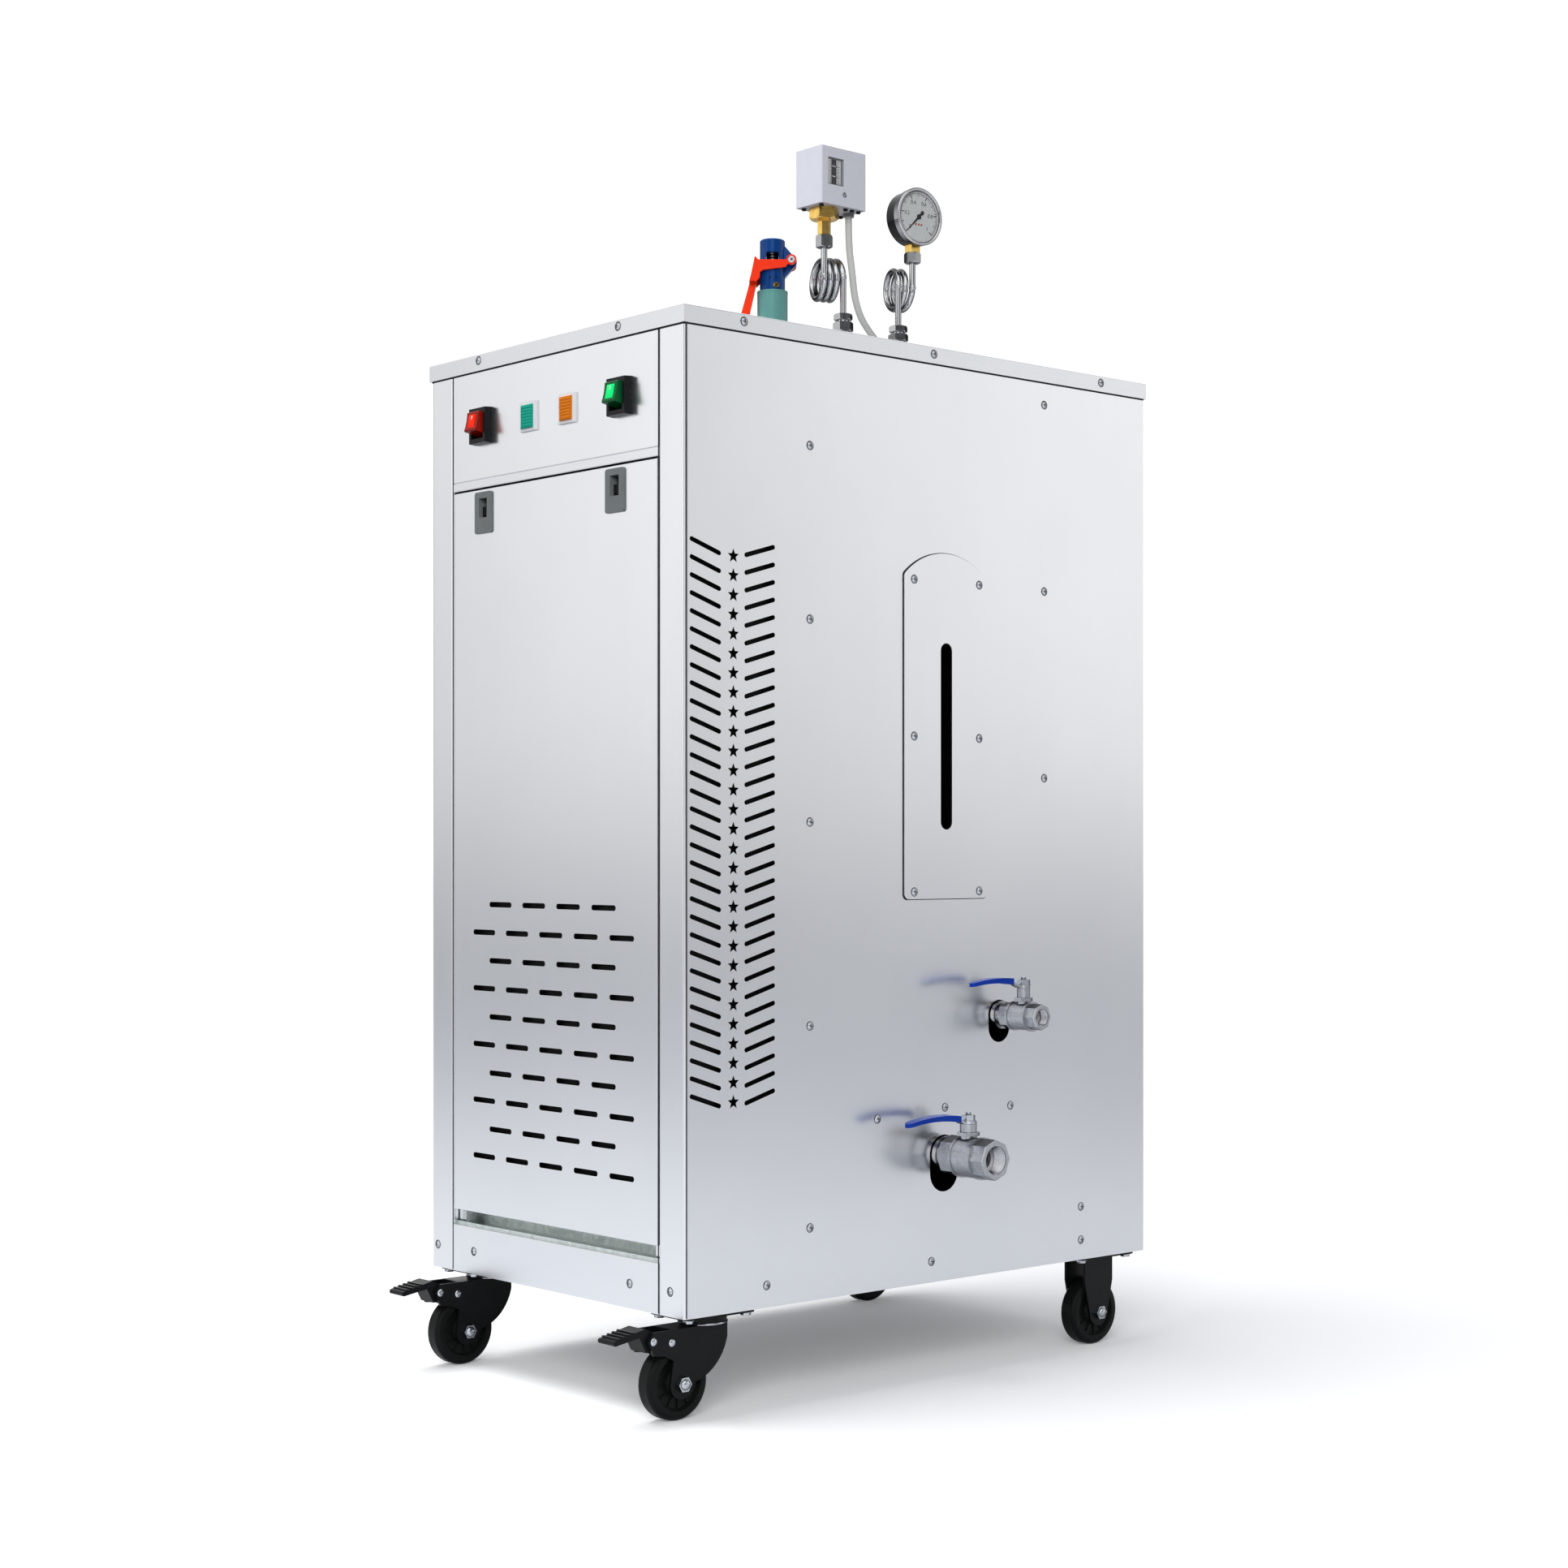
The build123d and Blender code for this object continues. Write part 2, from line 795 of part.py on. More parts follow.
with BuildPart() as valve_nipples:
    for valve in (drain, feed):
        y = front_y + valve["back"]
        start = drum_wall_x(y) - drum_wall
        with BuildSketch(Plane.YZ.offset(start)):
            with Locations((y, base_z + valve["rise"])):
                Circle(valve["pipe"])
                Circle(valve["bore"] - sheet, mode=Mode.SUBTRACT)
        extrude(amount=side_x + valve_start + valve["thread"] - start)
        with BuildSketch(Plane.YZ.offset(side_x + collar_out)):
            with Locations((y, base_z + valve["rise"])):
                Circle(valve["collar"])
                Circle(valve["bore"] - sheet, mode=Mode.SUBTRACT)
        extrude(amount=collar_width)
save(valve_nipples, "valve_nipples")


def valve_plane(valve, out):
    """A plane across the valve's pipe, at a distance out from the side panel."""
    centre = (side_x + out, front_y + valve["back"], base_z + valve["rise"])
    return Plane(origin=centre, x_dir=(0, 1, 0), z_dir=(1, 0, 0))


def valve_body(valve):
    """A ball valve's body: octagon ends, a round waist between two ridges and the stem's neck."""
    reach = valve["reach"]
    end_length = valve["thread"]
    waist = (valve_start + end_length, reach - end_length)
    with BuildPart() as body:
        for out in (valve_start, waist[1]):
            with BuildSketch(valve_plane(valve, out)):
                RegularPolygon(valve["flats"] / 2, 8, major_radius=False)
            extrude(amount=end_length)
        for end in (body.faces().sort_by(Axis.X)[0], body.faces().sort_by(Axis.X)[-1]):
            chamfer(end.edges(), valve_chamfer)
        with BuildSketch(valve_plane(valve, waist[0])):
            Circle(valve["body"])
        extrude(amount=waist[1] - waist[0])
        for out in waist:
            with BuildSketch(valve_plane(valve, out - valve_ridge_width / 2)):
                Circle(valve["body"] + valve_ridge)
            extrude(amount=valve_ridge_width)
        neck_foot = (side_x + valve["stem_x"], front_y + valve["back"])
        with BuildSketch(Plane.XY.offset(base_z + valve["rise"])):
            with Locations(neck_foot):
                Circle(valve["neck"])
        extrude(amount=valve["lever_rise"] - stem_nut / 2)
        with BuildSketch(Plane.XY.offset(base_z + valve["rise"] + valve["body"] + valve_ridge)):
            with Locations(neck_foot):
                RegularPolygon(valve["neck"] + gland_flats / 2, 6, major_radius=False)
        extrude(amount=gland_flats)
        with BuildSketch(valve_plane(valve, reach)):
            Circle(valve["bore"])
        extrude(amount=-end_length, mode=Mode.SUBTRACT)
        with BuildSketch(valve_plane(valve, valve_start)):
            Circle(valve["pipe"] + pin_gap)
        extrude(amount=end_length, mode=Mode.SUBTRACT)
        with BuildSketch(Plane.XY.offset(base_z + valve["rise"] + valve["body"])):
            with Locations(neck_foot):
                Circle(stem_radius + pin_gap)
        extrude(amount=valve["lever_rise"], mode=Mode.SUBTRACT)
    return body


def valve_lever(valve):
    """The stem, its nut and the cranked steel lever, which points to the front when shut."""
    stem = (side_x + valve["stem_x"], front_y + valve["back"])
    neck_top = base_z + valve["rise"] + valve["lever_rise"] - stem_nut / 2
    low = neck_top + seat_gap
    high = low + lever_plate
    with BuildPart() as lever:
        with BuildSketch(Plane.XY.offset(base_z + valve["rise"] + valve["body"] + seat_gap)):
            with Locations(stem):
                Circle(stem_radius)
        extrude(amount=high - base_z - valve["rise"] - valve["body"] - seat_gap)
        with BuildSketch(Plane.XY.offset(high)):
            with Locations(stem):
                RegularPolygon(stem_nut / 2, 6, major_radius=False)
        extrude(amount=stem_nut / 2)
        with BuildSketch(Plane.XY.offset(low)):
            with Locations(stem):
                Circle(valve["neck"])
        extrude(amount=lever_plate)
        with BuildSketch(Plane.YZ.offset(stem[0] - valve["lever_width"] / 4)):
            with BuildLine():
                lever_line(valve, stem[1], low + lever_plate / 2)
                offset(amount=lever_plate / 2, side=Side.BOTH)
            make_face()
        extrude(amount=valve["lever_width"] / 2)
    return lever


def lever_places(valve, y, z):
    """Where a lever's middle line passes its sleeve's start, its arch and its tip."""
    return (
        (y - valve["sleeve"], z + valve["crank"]),
        (y - valve["lever"] * arch_place, z + valve["arch"]),
        (y - valve["lever"], z + valve["tip"]),
    )


def lever_line(valve, y, z):
    """The lever's middle line from its stem: level, cranked up, then arched out to its tip."""
    root, arch, tip = lever_places(valve, y, z)
    end = (tip[0] + sleeve_cap, tip[1])
    Polyline((y, z), (y - valve["neck"] - lever_bend, z), root)
    ThreePointArc(root, arch, end)


def lever_sleeve(valve):
    """The vinyl sleeve over the lever's outer part, thinner and narrower towards its round tip."""
    stem = (side_x + valve["stem_x"], front_y + valve["back"])
    low = base_z + valve["rise"] + valve["lever_rise"] - stem_nut / 2 + seat_gap
    places = lever_places(valve, stem[1], low + lever_plate / 2)
    thick = (sleeve_root, sleeve_root + (sleeve_end - sleeve_root) * arch_place, sleeve_end)
    above = [(y, z + depth / 2) for (y, z), depth in zip(places, thick)]
    below = [(y, z - depth / 2) for (y, z), depth in zip(places, thick)]
    half = valve["lever_width"] / 2
    tip_half = half * sleeve_taper
    root_y = places[0][0]
    tip_y = places[2][0] + sleeve_round
    with BuildPart() as sleeve:
        with BuildSketch(Plane.YZ.offset(stem[0] - half)):
            with BuildLine():
                ThreePointArc(*above)
                Line(above[2], below[2])
                ThreePointArc(*below)
                Line(below[0], above[0])
            make_face()
        extrude(amount=2 * half)
        with BuildSketch(Plane.XY.offset(low - sleeve_root)):
            with BuildLine():
                Polyline(
                    (stem[0] - tip_half, tip_y + tip_half),
                    (stem[0] - half, root_y),
                    (stem[0] + half, root_y),
                    (stem[0] + tip_half, tip_y + tip_half),
                )
                ThreePointArc(
                    (stem[0] + tip_half, tip_y + tip_half),
                    (stem[0], tip_y),
                    (stem[0] - tip_half, tip_y + tip_half),
                )
            make_face()
        extrude(amount=4 * sleeve_root, mode=Mode.INTERSECT)
        add(valve_lever(valve).part, mode=Mode.SUBTRACT)
    return sleeve


for name, valve in (("drain", drain), ("feed", feed)):
    save(valve_body(valve), f"{name}_valve_body")
    save(valve_lever(valve), f"{name}_valve_lever")
    save(lever_sleeve(valve), f"{name}_lever_sleeve")


# Casters

caster_x = side_x - caster_inset
front_caster_y = front_y + front_caster_back
rear_caster_y = rear_y - rear_caster_inset
axle_z = wheel_radius
crown_top = base_z - plate_thickness - cup_depth - seat_gap
leg_middle = (fork_width - leg) / 2


def mounting_plate(x, y):
    """The plate that bolts a caster to the cabinet's underside."""
    with BuildSketch(Plane.XY.offset(base_z)) as outline:
        with Locations((x, y)):
            RectangleRounded(plate_width, plate_length, plate_corner)
    extrude(outline.sketch, amount=-plate_thickness)


def wheel(x, y):
    """A caster wheel: a rounded tyre, a recessed web and a wide hub with its bore."""
    half = wheel_width / 2
    with BuildPart() as roller:
        with BuildSketch(Plane(origin=(x, y, axle_z), x_dir=(1, 0, 0), z_dir=(0, -1, 0))):
            with BuildLine():
                Polyline(
                    (-hub_width / 2, axle_radius + pin_gap),
                    (-hub_width / 2, hub_radius),
                    (-half + web_inset, hub_radius + hub_step),
                    (-half + web_inset, wheel_radius * web_reach),
                    (-half, wheel_radius * rim_reach),
                    (-half, wheel_radius - tyre_side),
                )
                ThreePointArc(
                    (-half, wheel_radius - tyre_side),
                    (-half + tyre_bulge[0], wheel_radius - tyre_bulge[1]),
                    (-half + tyre_top, wheel_radius),
                )
                Line((-half + tyre_top, wheel_radius), (half - tyre_top, wheel_radius))
                ThreePointArc(
                    (half - tyre_top, wheel_radius),
                    (half - tyre_bulge[0], wheel_radius - tyre_bulge[1]),
                    (half, wheel_radius - tyre_side),
                )
                Polyline(
                    (half, wheel_radius - tyre_side),
                    (half, wheel_radius * rim_reach),
                    (half - web_inset, wheel_radius * web_reach),
                    (half - web_inset, hub_radius + hub_step),
                    (hub_width / 2, hub_radius),
                    (hub_width / 2, axle_radius + pin_gap),
                    (-hub_width / 2, axle_radius + pin_gap),
                )
            make_face()
        revolve(axis=Axis((x, y, axle_z), (1, 0, 0)))
    return roller


def axle(x, y):
    """The bolt that a wheel turns on, with a hexagon at each end outside the fork."""
    with BuildSketch(Plane.YZ.offset(x - fork_width / 2)) as shank:
        with Locations((y, axle_z)):
            Circle(axle_radius)
    extrude(shank.sketch, amount=fork_width)
    for side in (-1, 1):
        with BuildSketch(Plane.YZ.offset(x + side * fork_width / 2)) as head:
            with Locations((y, axle_z)):
                RegularPolygon(axle_head / 2, 6, major_radius=False)
        extrude(head.sketch, amount=side * axle_head_depth)


with BuildPart() as caster_plates:
    for x in (-caster_x, caster_x):
        mounting_plate(x, front_caster_y)
        with BuildSketch(Plane.XY.offset(base_z - plate_thickness)):
            with Locations((x, front_caster_y)):
                Circle(cup_radius)
        extrude(amount=-cup_depth, taper=cup_taper)
        with BuildSketch(Plane.XY.offset(base_z - plate_thickness - cup_depth)):
            with Locations((x, front_caster_y)):
                Circle(axle_radius)
        extrude(amount=-crown - 2 * seat_gap)
        with BuildSketch(Plane.XY.offset(crown_top - crown - seat_gap)):
            with Locations((x, front_caster_y)):
                Circle(kingpin_head)
        extrude(amount=-kingpin_head_depth)
save(caster_plates, "caster_plates")


def swivel_fork(x):
    """A swivelling fork: its crown under the ball race, two trailing legs and the pedal's pin."""
    y = front_caster_y
    hub_y = y - wheel_trail
    with BuildPart() as fork:
        for side in (-1, 1):
            with BuildSketch(Plane.YZ.offset(x + side * leg_middle - leg / 2)):
                with BuildLine():
                    Polyline(
                        (hub_y - leg_hub, axle_z),
                        (y + leg_nose[0], base_z + leg_nose[1]),
                        (y + leg_brow[0], base_z + leg_brow[1]),
                        (y + pedal_pivot_y, base_z + pedal_pivot_z - 2 * pedal_ear),
                        (y + pedal_pivot_y - pedal_ear, base_z + pedal_pivot_z),
                        (y + pedal_pivot_y, crown_top),
                        (y + leg_rear, crown_top),
                        (y + leg_rear, base_z - leg_rear_drop),
                    )
                    ThreePointArc(
                        (y + leg_rear, base_z - leg_rear_drop),
                        (y + leg_belly[0], base_z + leg_belly[1]),
                        (hub_y + leg_hub, axle_z),
                    )
                    ThreePointArc(
                        (hub_y + leg_hub, axle_z),
                        (hub_y, axle_z - leg_hub),
                        (hub_y - leg_hub, axle_z),
                    )
                make_face()
                with Locations((hub_y, axle_z)):
                    Circle(axle_radius + pin_gap, mode=Mode.SUBTRACT)
            extrude(amount=leg)
        with BuildSketch(Plane.XY.offset(crown_top)):
            with Locations((x, y + leg_rear - crown_length / 2)):
                Rectangle(fork_width, crown_length)
            with Locations((x, y)):
                Circle(axle_radius + pin_gap, mode=Mode.SUBTRACT)
        extrude(amount=-crown)
        with BuildSketch(Plane.YZ.offset(x - fork_width / 2)):
            with Locations((y + pedal_pivot_y, base_z + pedal_pivot_z)):
                Circle(pedal_pin)
        extrude(amount=fork_width)
    return fork


def brake_pedal(x):
    """The pedal between the fork's legs, pressed down at its tip to lock the wheel."""
    y = front_caster_y
    tip_z = base_z + pedal_tip_z
    root_y = y + pedal_pivot_y - pedal_lap
    root_z = base_z + pedal_root_z
    tip_y = y + pedal_tip
    slope = (root_z - tip_z) / (root_y - tip_y)
    with BuildPart() as pedal:
        with BuildSketch(Plane.YZ.offset(x - pedal_block_width / 2)):
            front = y + pedal_pivot_y + pedal_block_front
            front_z = root_z - slope * (root_y - front)
            with BuildLine():
                Polyline(
                    (y + pedal_pivot_y + pedal_block_rear, base_z + pedal_block_top),
                    (y + pedal_pivot_y + pedal_block_rear, base_z + pedal_block_bottom),
                    (y + pedal_pivot_y - pedal_ear, base_z + pedal_block_bottom),
                    (front, front_z - pedal_thickness),
                    (front, front_z),
                    (root_y, root_z),
                    close=True,
                )
            make_face()
            with Locations((y + pedal_pivot_y, base_z + pedal_pivot_z)):
                Circle(pedal_pin + pin_gap, mode=Mode.SUBTRACT)
        extrude(amount=pedal_block_width)
        with BuildSketch(Plane.YZ.offset(x - pedal_width / 2)):
            with BuildLine():
                Polyline(
                    (root_y, root_z),
                    (tip_y, tip_z),
                    (tip_y, tip_z - pedal_thickness),
                    (root_y, root_z - pedal_thickness - pedal_drop),
                    close=True,
                )
            make_face()
        extrude(amount=pedal_width)
        fillet(pedal.edges().filter_by(Axis.X).group_by(Axis.Y)[0], pedal_round)
        for rib in range(pedal_ribs):
            rib_y = tip_y + pedal_rib_pitch * (rib + 1)
            rib_z = tip_z + slope * pedal_rib_pitch * (rib + 1)
            with BuildSketch(Plane.YZ.offset(x - pedal_width / 2)):
                with Locations((rib_y, rib_z)):
                    Rectangle(pedal_rib_width, 2 * pedal_rib_height)
            extrude(amount=pedal_width)
    return pedal


for side, x in (("left", -caster_x), ("right", caster_x)):
    save(swivel_fork(x), f"front_fork_{side}")
    save(brake_pedal(x), f"brake_pedal_{side}")
    with BuildPart() as front_axle:
        axle(x, front_caster_y - wheel_trail)
    save(front_axle, f"front_axle_{side}")
    save(wheel(x, front_caster_y - wheel_trail), f"front_wheel_{side}")
    save(wheel(x, rear_caster_y), f"rear_wheel_{side}")

with BuildPart() as rear_forks:
    for x in (-caster_x, caster_x):
        mounting_plate(x, rear_caster_y)
        with BuildSketch(Plane.XY.offset(base_z - plate_thickness)):
            with Locations((x, rear_caster_y)):
                Rectangle(fork_width, rigid_leg_width)
        extrude(amount=-crown)
        for side in (-1, 1):
            half_leg = rigid_leg_width / 2
            with BuildSketch(Plane.YZ.offset(x + side * leg_middle - leg / 2)):
                with BuildLine():
                    Polyline(
                        (rear_caster_y - leg_hub, axle_z),
                        (rear_caster_y - half_leg, base_z - rigid_leg_waist),
                        (rear_caster_y - half_leg, base_z - plate_thickness),
                        (rear_caster_y + half_leg, base_z - plate_thickness),
                        (rear_caster_y + half_leg, base_z - rigid_leg_waist),
                        (rear_caster_y + leg_hub, axle_z),
                    )
                    ThreePointArc(
                        (rear_caster_y + leg_hub, axle_z),
                        (rear_caster_y, axle_z - leg_hub),
                        (rear_caster_y - leg_hub, axle_z),
                    )
                make_face()
                with Locations((rear_caster_y, axle_z)):
                    Circle(axle_radius + pin_gap, mode=Mode.SUBTRACT)
            extrude(amount=leg)
save(rear_forks, "rear_forks")

with BuildPart() as rear_axles:
    for x in (-caster_x, caster_x):
        axle(x, rear_caster_y)
save(rear_axles, "rear_axles")


# Safety valve, with its easing lever across the view

across = (cos(radians(lever_turn)), sin(radians(lever_turn)), 0)
facing = (sin(radians(lever_turn)), -cos(radians(lever_turn)), 0)


def across_plane(back, rise):
    """An upright plane on the lid's middle line, turned as the easing lever is."""
    spot = lid_place(back)
    return Plane(origin=(spot.X, spot.Y, top_z + rise), x_dir=across, z_dir=facing)


safety_spot = lid_place(safety_back)

with BuildPart() as safety_valve_body:
    with BuildSketch(Plane.XY.offset(top_z)):
        with Locations((safety_spot.X, safety_spot.Y)):
            RegularPolygon(safety_flats / 2, 6, major_radius=False)
    extrude(amount=lid_skirt)
    with BuildSketch(Plane.XY.offset(top_z + lid_skirt)):
        with Locations((safety_spot.X, safety_spot.Y)):
            Circle(safety_body_radius)
    extrude(amount=safety_body_top - lid_skirt)
save(safety_valve_body, "safety_valve_body")

with BuildPart() as safety_valve_bonnet:
    with BuildSketch(Plane.XY.offset(top_z + safety_body_top)):
        with Locations((safety_spot.X, safety_spot.Y)):
            Circle(safety_bonnet_radius)
    extrude(amount=safety_top - safety_body_top)
    fillet(safety_valve_bonnet.edges().group_by(Axis.Z)[-1], safety_round)
    with BuildSketch(across_plane(safety_back, 0)):
        with Locations((0, (safety_window + safety_cap) / 2)):
            Rectangle(safety_bonnet_radius, safety_cap - safety_window)
    extrude(amount=safety_bonnet_radius * 1.5, both=True, mode=Mode.SUBTRACT)
    with BuildSketch(across_plane(safety_back, safety_pivot_rise)):
        with Locations((safety_pivot, 0)):
            Circle(lug_radius)
        with Locations((safety_bonnet_radius - lug_radius / 2, 0)):
            Rectangle(lug_radius, 2 * lug_half_height)
        make_hull()
        with Locations((safety_pivot, 0)):
            Circle(pivot_pin + pin_gap, mode=Mode.SUBTRACT)
    extrude(amount=lug_half_width, both=True)
save(safety_valve_bonnet, "safety_valve_bonnet")

with BuildPart() as safety_valve_lever:
    arm_inner = safety_bonnet_radius + fork_gap
    arm_outer = arm_inner + fork_arm
    pivot_plane = across_plane(safety_back, safety_pivot_rise)
    with BuildSketch(pivot_plane):
        with BuildLine():
            outline = easing_hook + easing_back + easing_front + easing_under
            Polyline(*outline, (safety_pivot, 0), close=True)
        arm = make_face()
        fillet(arm.vertices().sort_by(Axis((0, 0, 0), across))[:-2], easing_round)
        with Locations((safety_pivot, 0)):
            Circle(easing_boss)
    extrude(amount=arm_outer, both=True)
    with BuildSketch(pivot_plane):
        with Locations((fork_throat + fork_length / 2, 0)):
            Rectangle(fork_length, fork_length)
    extrude(amount=arm_inner, both=True, mode=Mode.SUBTRACT)
    for way in (-1, 1):
        with BuildSketch(pivot_plane.offset(way * handle_width / 2)):
            with Locations((-fork_length / 2, -fork_length / 2 - handle_drop)):
                Rectangle(fork_length, fork_length)
        extrude(amount=way * arm_outer, mode=Mode.SUBTRACT)
    with BuildSketch(pivot_plane):
        with Locations((safety_pivot, 0)):
            Circle(pivot_pin)
    extrude(amount=arm_outer, both=True)
save(safety_valve_lever, "safety_valve_lever")


# Siphons: a pipe with close turns under the pressure switch and under the gauge

coil_along = Vector(cos(radians(coil_turn)), sin(radians(coil_turn)), 0)
coil_out = Vector(sin(radians(coil_turn)), -cos(radians(coil_turn)), 0)


def hexagon_nut(spot, low, high, flats, turn=0):
    """A hexagon nut with its corners turned off at both ends."""
    with BuildPart() as nut:
        with BuildSketch(Plane.XY.offset(low)):
            with Locations((spot.X, spot.Y)):
                Circle(flats / sqrt(3))
        extrude(amount=high - low)
        chamfer(nut.edges().filter_by(GeomType.CIRCLE), nut_corner)
        with BuildSketch(Plane.XY.offset(low)):
            with Locations((spot.X, spot.Y)):
                RegularPolygon(flats / 2, 6, major_radius=False, rotation=turn)
        extrude(amount=high - low, mode=Mode.INTERSECT)
    return nut.part


def siphon(pipe):
    """A pigtail siphon: its turns step sideways from its foot to its head, way being left or right."""
    spot = lid_place(pipe["back"])
    step = pipe["pitch"] * pipe["turns"]
    aside = coil_along * pipe["way"]
    foot = Vector(spot.X, spot.Y, 0)
    head = foot + aside * step
    coil_z = top_z + pipe["coil_rise"]
    coil_centre = foot - coil_out * siphon_radius + Vector(0, 0, coil_z)
    coil_plane = Plane(origin=coil_centre, x_dir=coil_out, z_dir=aside)
    waist_low = top_z + pipe["foot_high"] - foot_nut_thin - siphon_waist
    foot_high = top_z + pipe["foot_high"]
    head_low = top_z + pipe["nut_low"]
    head_high = top_z + pipe["nut_high"]
    nuts = (
        hexagon_nut(foot, top_z, top_z + lock_nut_height, lock_nut_flats),
        hexagon_nut(foot, top_z + foot_nut_low, waist_low, foot_flats),
        hexagon_nut(foot, foot_high - foot_nut_thin, foot_high, foot_nut_flats),
        hexagon_nut(head, head_low, head_high, siphon_flats, pipe["nut_turn"]),
    )
    with BuildPart() as body:
        for centre, low, high in ((foot, top_z, coil_z), (head, coil_z, head_high)):
            with BuildSketch(Plane.XY.offset(low)):
                with Locations((centre.X, centre.Y)):
                    Circle(siphon_tube)
            extrude(amount=high - low)
            with Locations((centre.X, centre.Y, coil_z)):
                Sphere(siphon_weld)
        upright = Helix(pipe["pitch"], step, siphon_radius, lefthand=pipe["way"] > 0, mode=Mode.PRIVATE)
        turns = upright.moved(coil_plane.location)
        with BuildSketch(Plane(origin=turns @ 0, z_dir=turns % 0)):
            Circle(siphon_tube)
        sweep(path=turns, is_frenet=True)
        for radius, high in ((nipple_radius, top_z + foot_nut_low), (siphon_waist_radius, foot_high)):
            with BuildSketch(Plane.XY.offset(top_z)):
                with Locations((foot.X, foot.Y)):
                    Circle(radius)
            extrude(amount=high - top_z)
        add(nuts)
    return body, head


switch_siphon, switch_head = siphon(switch_pipe)
save(switch_siphon, "switch_siphon")
gauge_siphon, gauge_head = siphon(gauge_pipe)
save(gauge_siphon, "gauge_siphon")


# Pressure switch

with BuildPart() as pressure_switch_bellows:
    case_z = top_z + case_bottom
    nut_z = top_z + bellows_bottom
    head_z = top_z + switch_pipe["nut_high"]
    with BuildSketch(Plane.XY.offset(nut_z)):
        with Locations((switch_head.X, switch_head.Y)):
            Circle(bellows_radius)
    extrude(amount=case_z - bellows_collar - nut_z)
    low_ring = pressure_switch_bellows.edges().filter_by(GeomType.CIRCLE).sort_by(Axis.Z)[0]
    fillet(low_ring, bellows_round)
    with BuildSketch(Plane.XY.offset(nut_z)):
        with Locations((switch_head.X, switch_head.Y)):
            RegularPolygon(bellows_radius, 6)
    extrude(amount=case_z - nut_z, mode=Mode.INTERSECT)
    with BuildSketch(Plane.XY.offset(case_z - bellows_collar)):
        with Locations((switch_head.X, switch_head.Y)):
            Circle(bellows_radius - bellows_inset)
    extrude(amount=bellows_collar)
    with BuildSketch(Plane.XY.offset(head_z)):
        with Locations((switch_head.X, switch_head.Y)):
            RegularPolygon(switch_neck_flats / 2, 6, major_radius=False)
    extrude(amount=nut_z - head_z)
save(pressure_switch_bellows, "pressure_switch_bellows")

case_x = switch_head.X
case_y = switch_head.Y + case_shift
case_middle = top_z + case_bottom + case_height / 2
with BuildPart() as pressure_switch_case:
    with BuildSketch(Plane.XY.offset(top_z + case_bottom)):
        with Locations((case_x, case_y)):
            RectangleRounded(case_width, case_length, case_corner)
    extrude(amount=case_height)
    with BuildSketch(Plane.YZ.offset(case_x + case_width / 2)):
        with Locations((case_y + case_window_at[0], case_middle + case_window_at[1])):
            Rectangle(*case_window)
    extrude(amount=-case_window_depth, mode=Mode.SUBTRACT)
save(pressure_switch_case, "pressure_switch_case")


# Pressure gauge

gauge_way = (cos(radians(gauge_turn)), sin(radians(gauge_turn)), 0)
gauge_plane = Plane(
    origin=(gauge_head.X, gauge_head.Y, top_z + gauge_rise),
    x_dir=(-gauge_way[1], gauge_way[0], 0),
    z_dir=gauge_way,
)
gauge_face = gauge_depth / 2 + bezel_depth / 4


def gauge_disc(start, thickness, radius, bore=0):
    """A disc or ring of the gauge, from a place along its axis towards its face."""
    with BuildSketch(gauge_plane.offset(start)) as disc:
        Circle(radius)
        if bore:
            Circle(bore, mode=Mode.SUBTRACT)
    extrude(disc.sketch, amount=thickness)


with BuildPart() as gauge_case:
    gauge_disc(gauge_face - gauge_depth, gauge_depth - bezel_depth, gauge_radius)
    fillet(gauge_case.edges().group_by(Axis((0, 0, 0), gauge_way))[0], gauge_edge)
save(gauge_case, "gauge_case")

with BuildPart() as gauge_stem_block:
    with BuildSketch(gauge_plane.offset(-gauge_stem / 2)):
        with Locations((0, (gauge_pipe["nut_high"] - gauge_rise) / 2)):
            Rectangle(gauge_stem, gauge_rise - gauge_pipe["nut_high"])
    extrude(amount=gauge_stem)
    add(gauge_case.part, mode=Mode.SUBTRACT)
save(gauge_stem_block, "gauge_stem")

with BuildPart() as gauge_bezel:
    gauge_disc(gauge_face - bezel_depth, bezel_depth, bezel_radius, bezel_radius - bezel_rim)
    fillet(gauge_bezel.edges().group_by(Axis((0, 0, 0), gauge_way))[-1], bezel_round)
save(gauge_bezel, "gauge_bezel")

with BuildPart() as gauge_dial:
    gauge_disc(gauge_face - bezel_depth, bezel_depth - dial_inset, bezel_radius - bezel_rim)
save(gauge_dial, "gauge_dial")


# Wiring conduit and its two glands

box_exit = (case_x, case_y + gland_shift, top_z + case_bottom - gland_height)
lid_entry = (*lid_gland, top_z + gland_height)
route = [
    box_exit,
    (*box_exit[:2], top_z + conduit_drop),
    *[(x, y, top_z + rise) for x, y, rise in conduit_path],
    (*lid_entry[:2], top_z + conduit_landing),
    lid_entry,
]


def corner_radii(points):
    """The largest arc at each inner point that both of its runs leave room for."""
    radii = []
    for before, here, after in zip(points, points[1:], points[2:]):
        run_in = Vector(*here) - Vector(*before)
        run_out = Vector(*after) - Vector(*here)
        turn = radians(run_in.get_angle(run_out))
        radii.append(0.45 * min(run_in.length, run_out.length) / tan(turn / 2))
    return radii


print("conduit arc radii, mm:", [round(radius) for radius in corner_radii(route)])

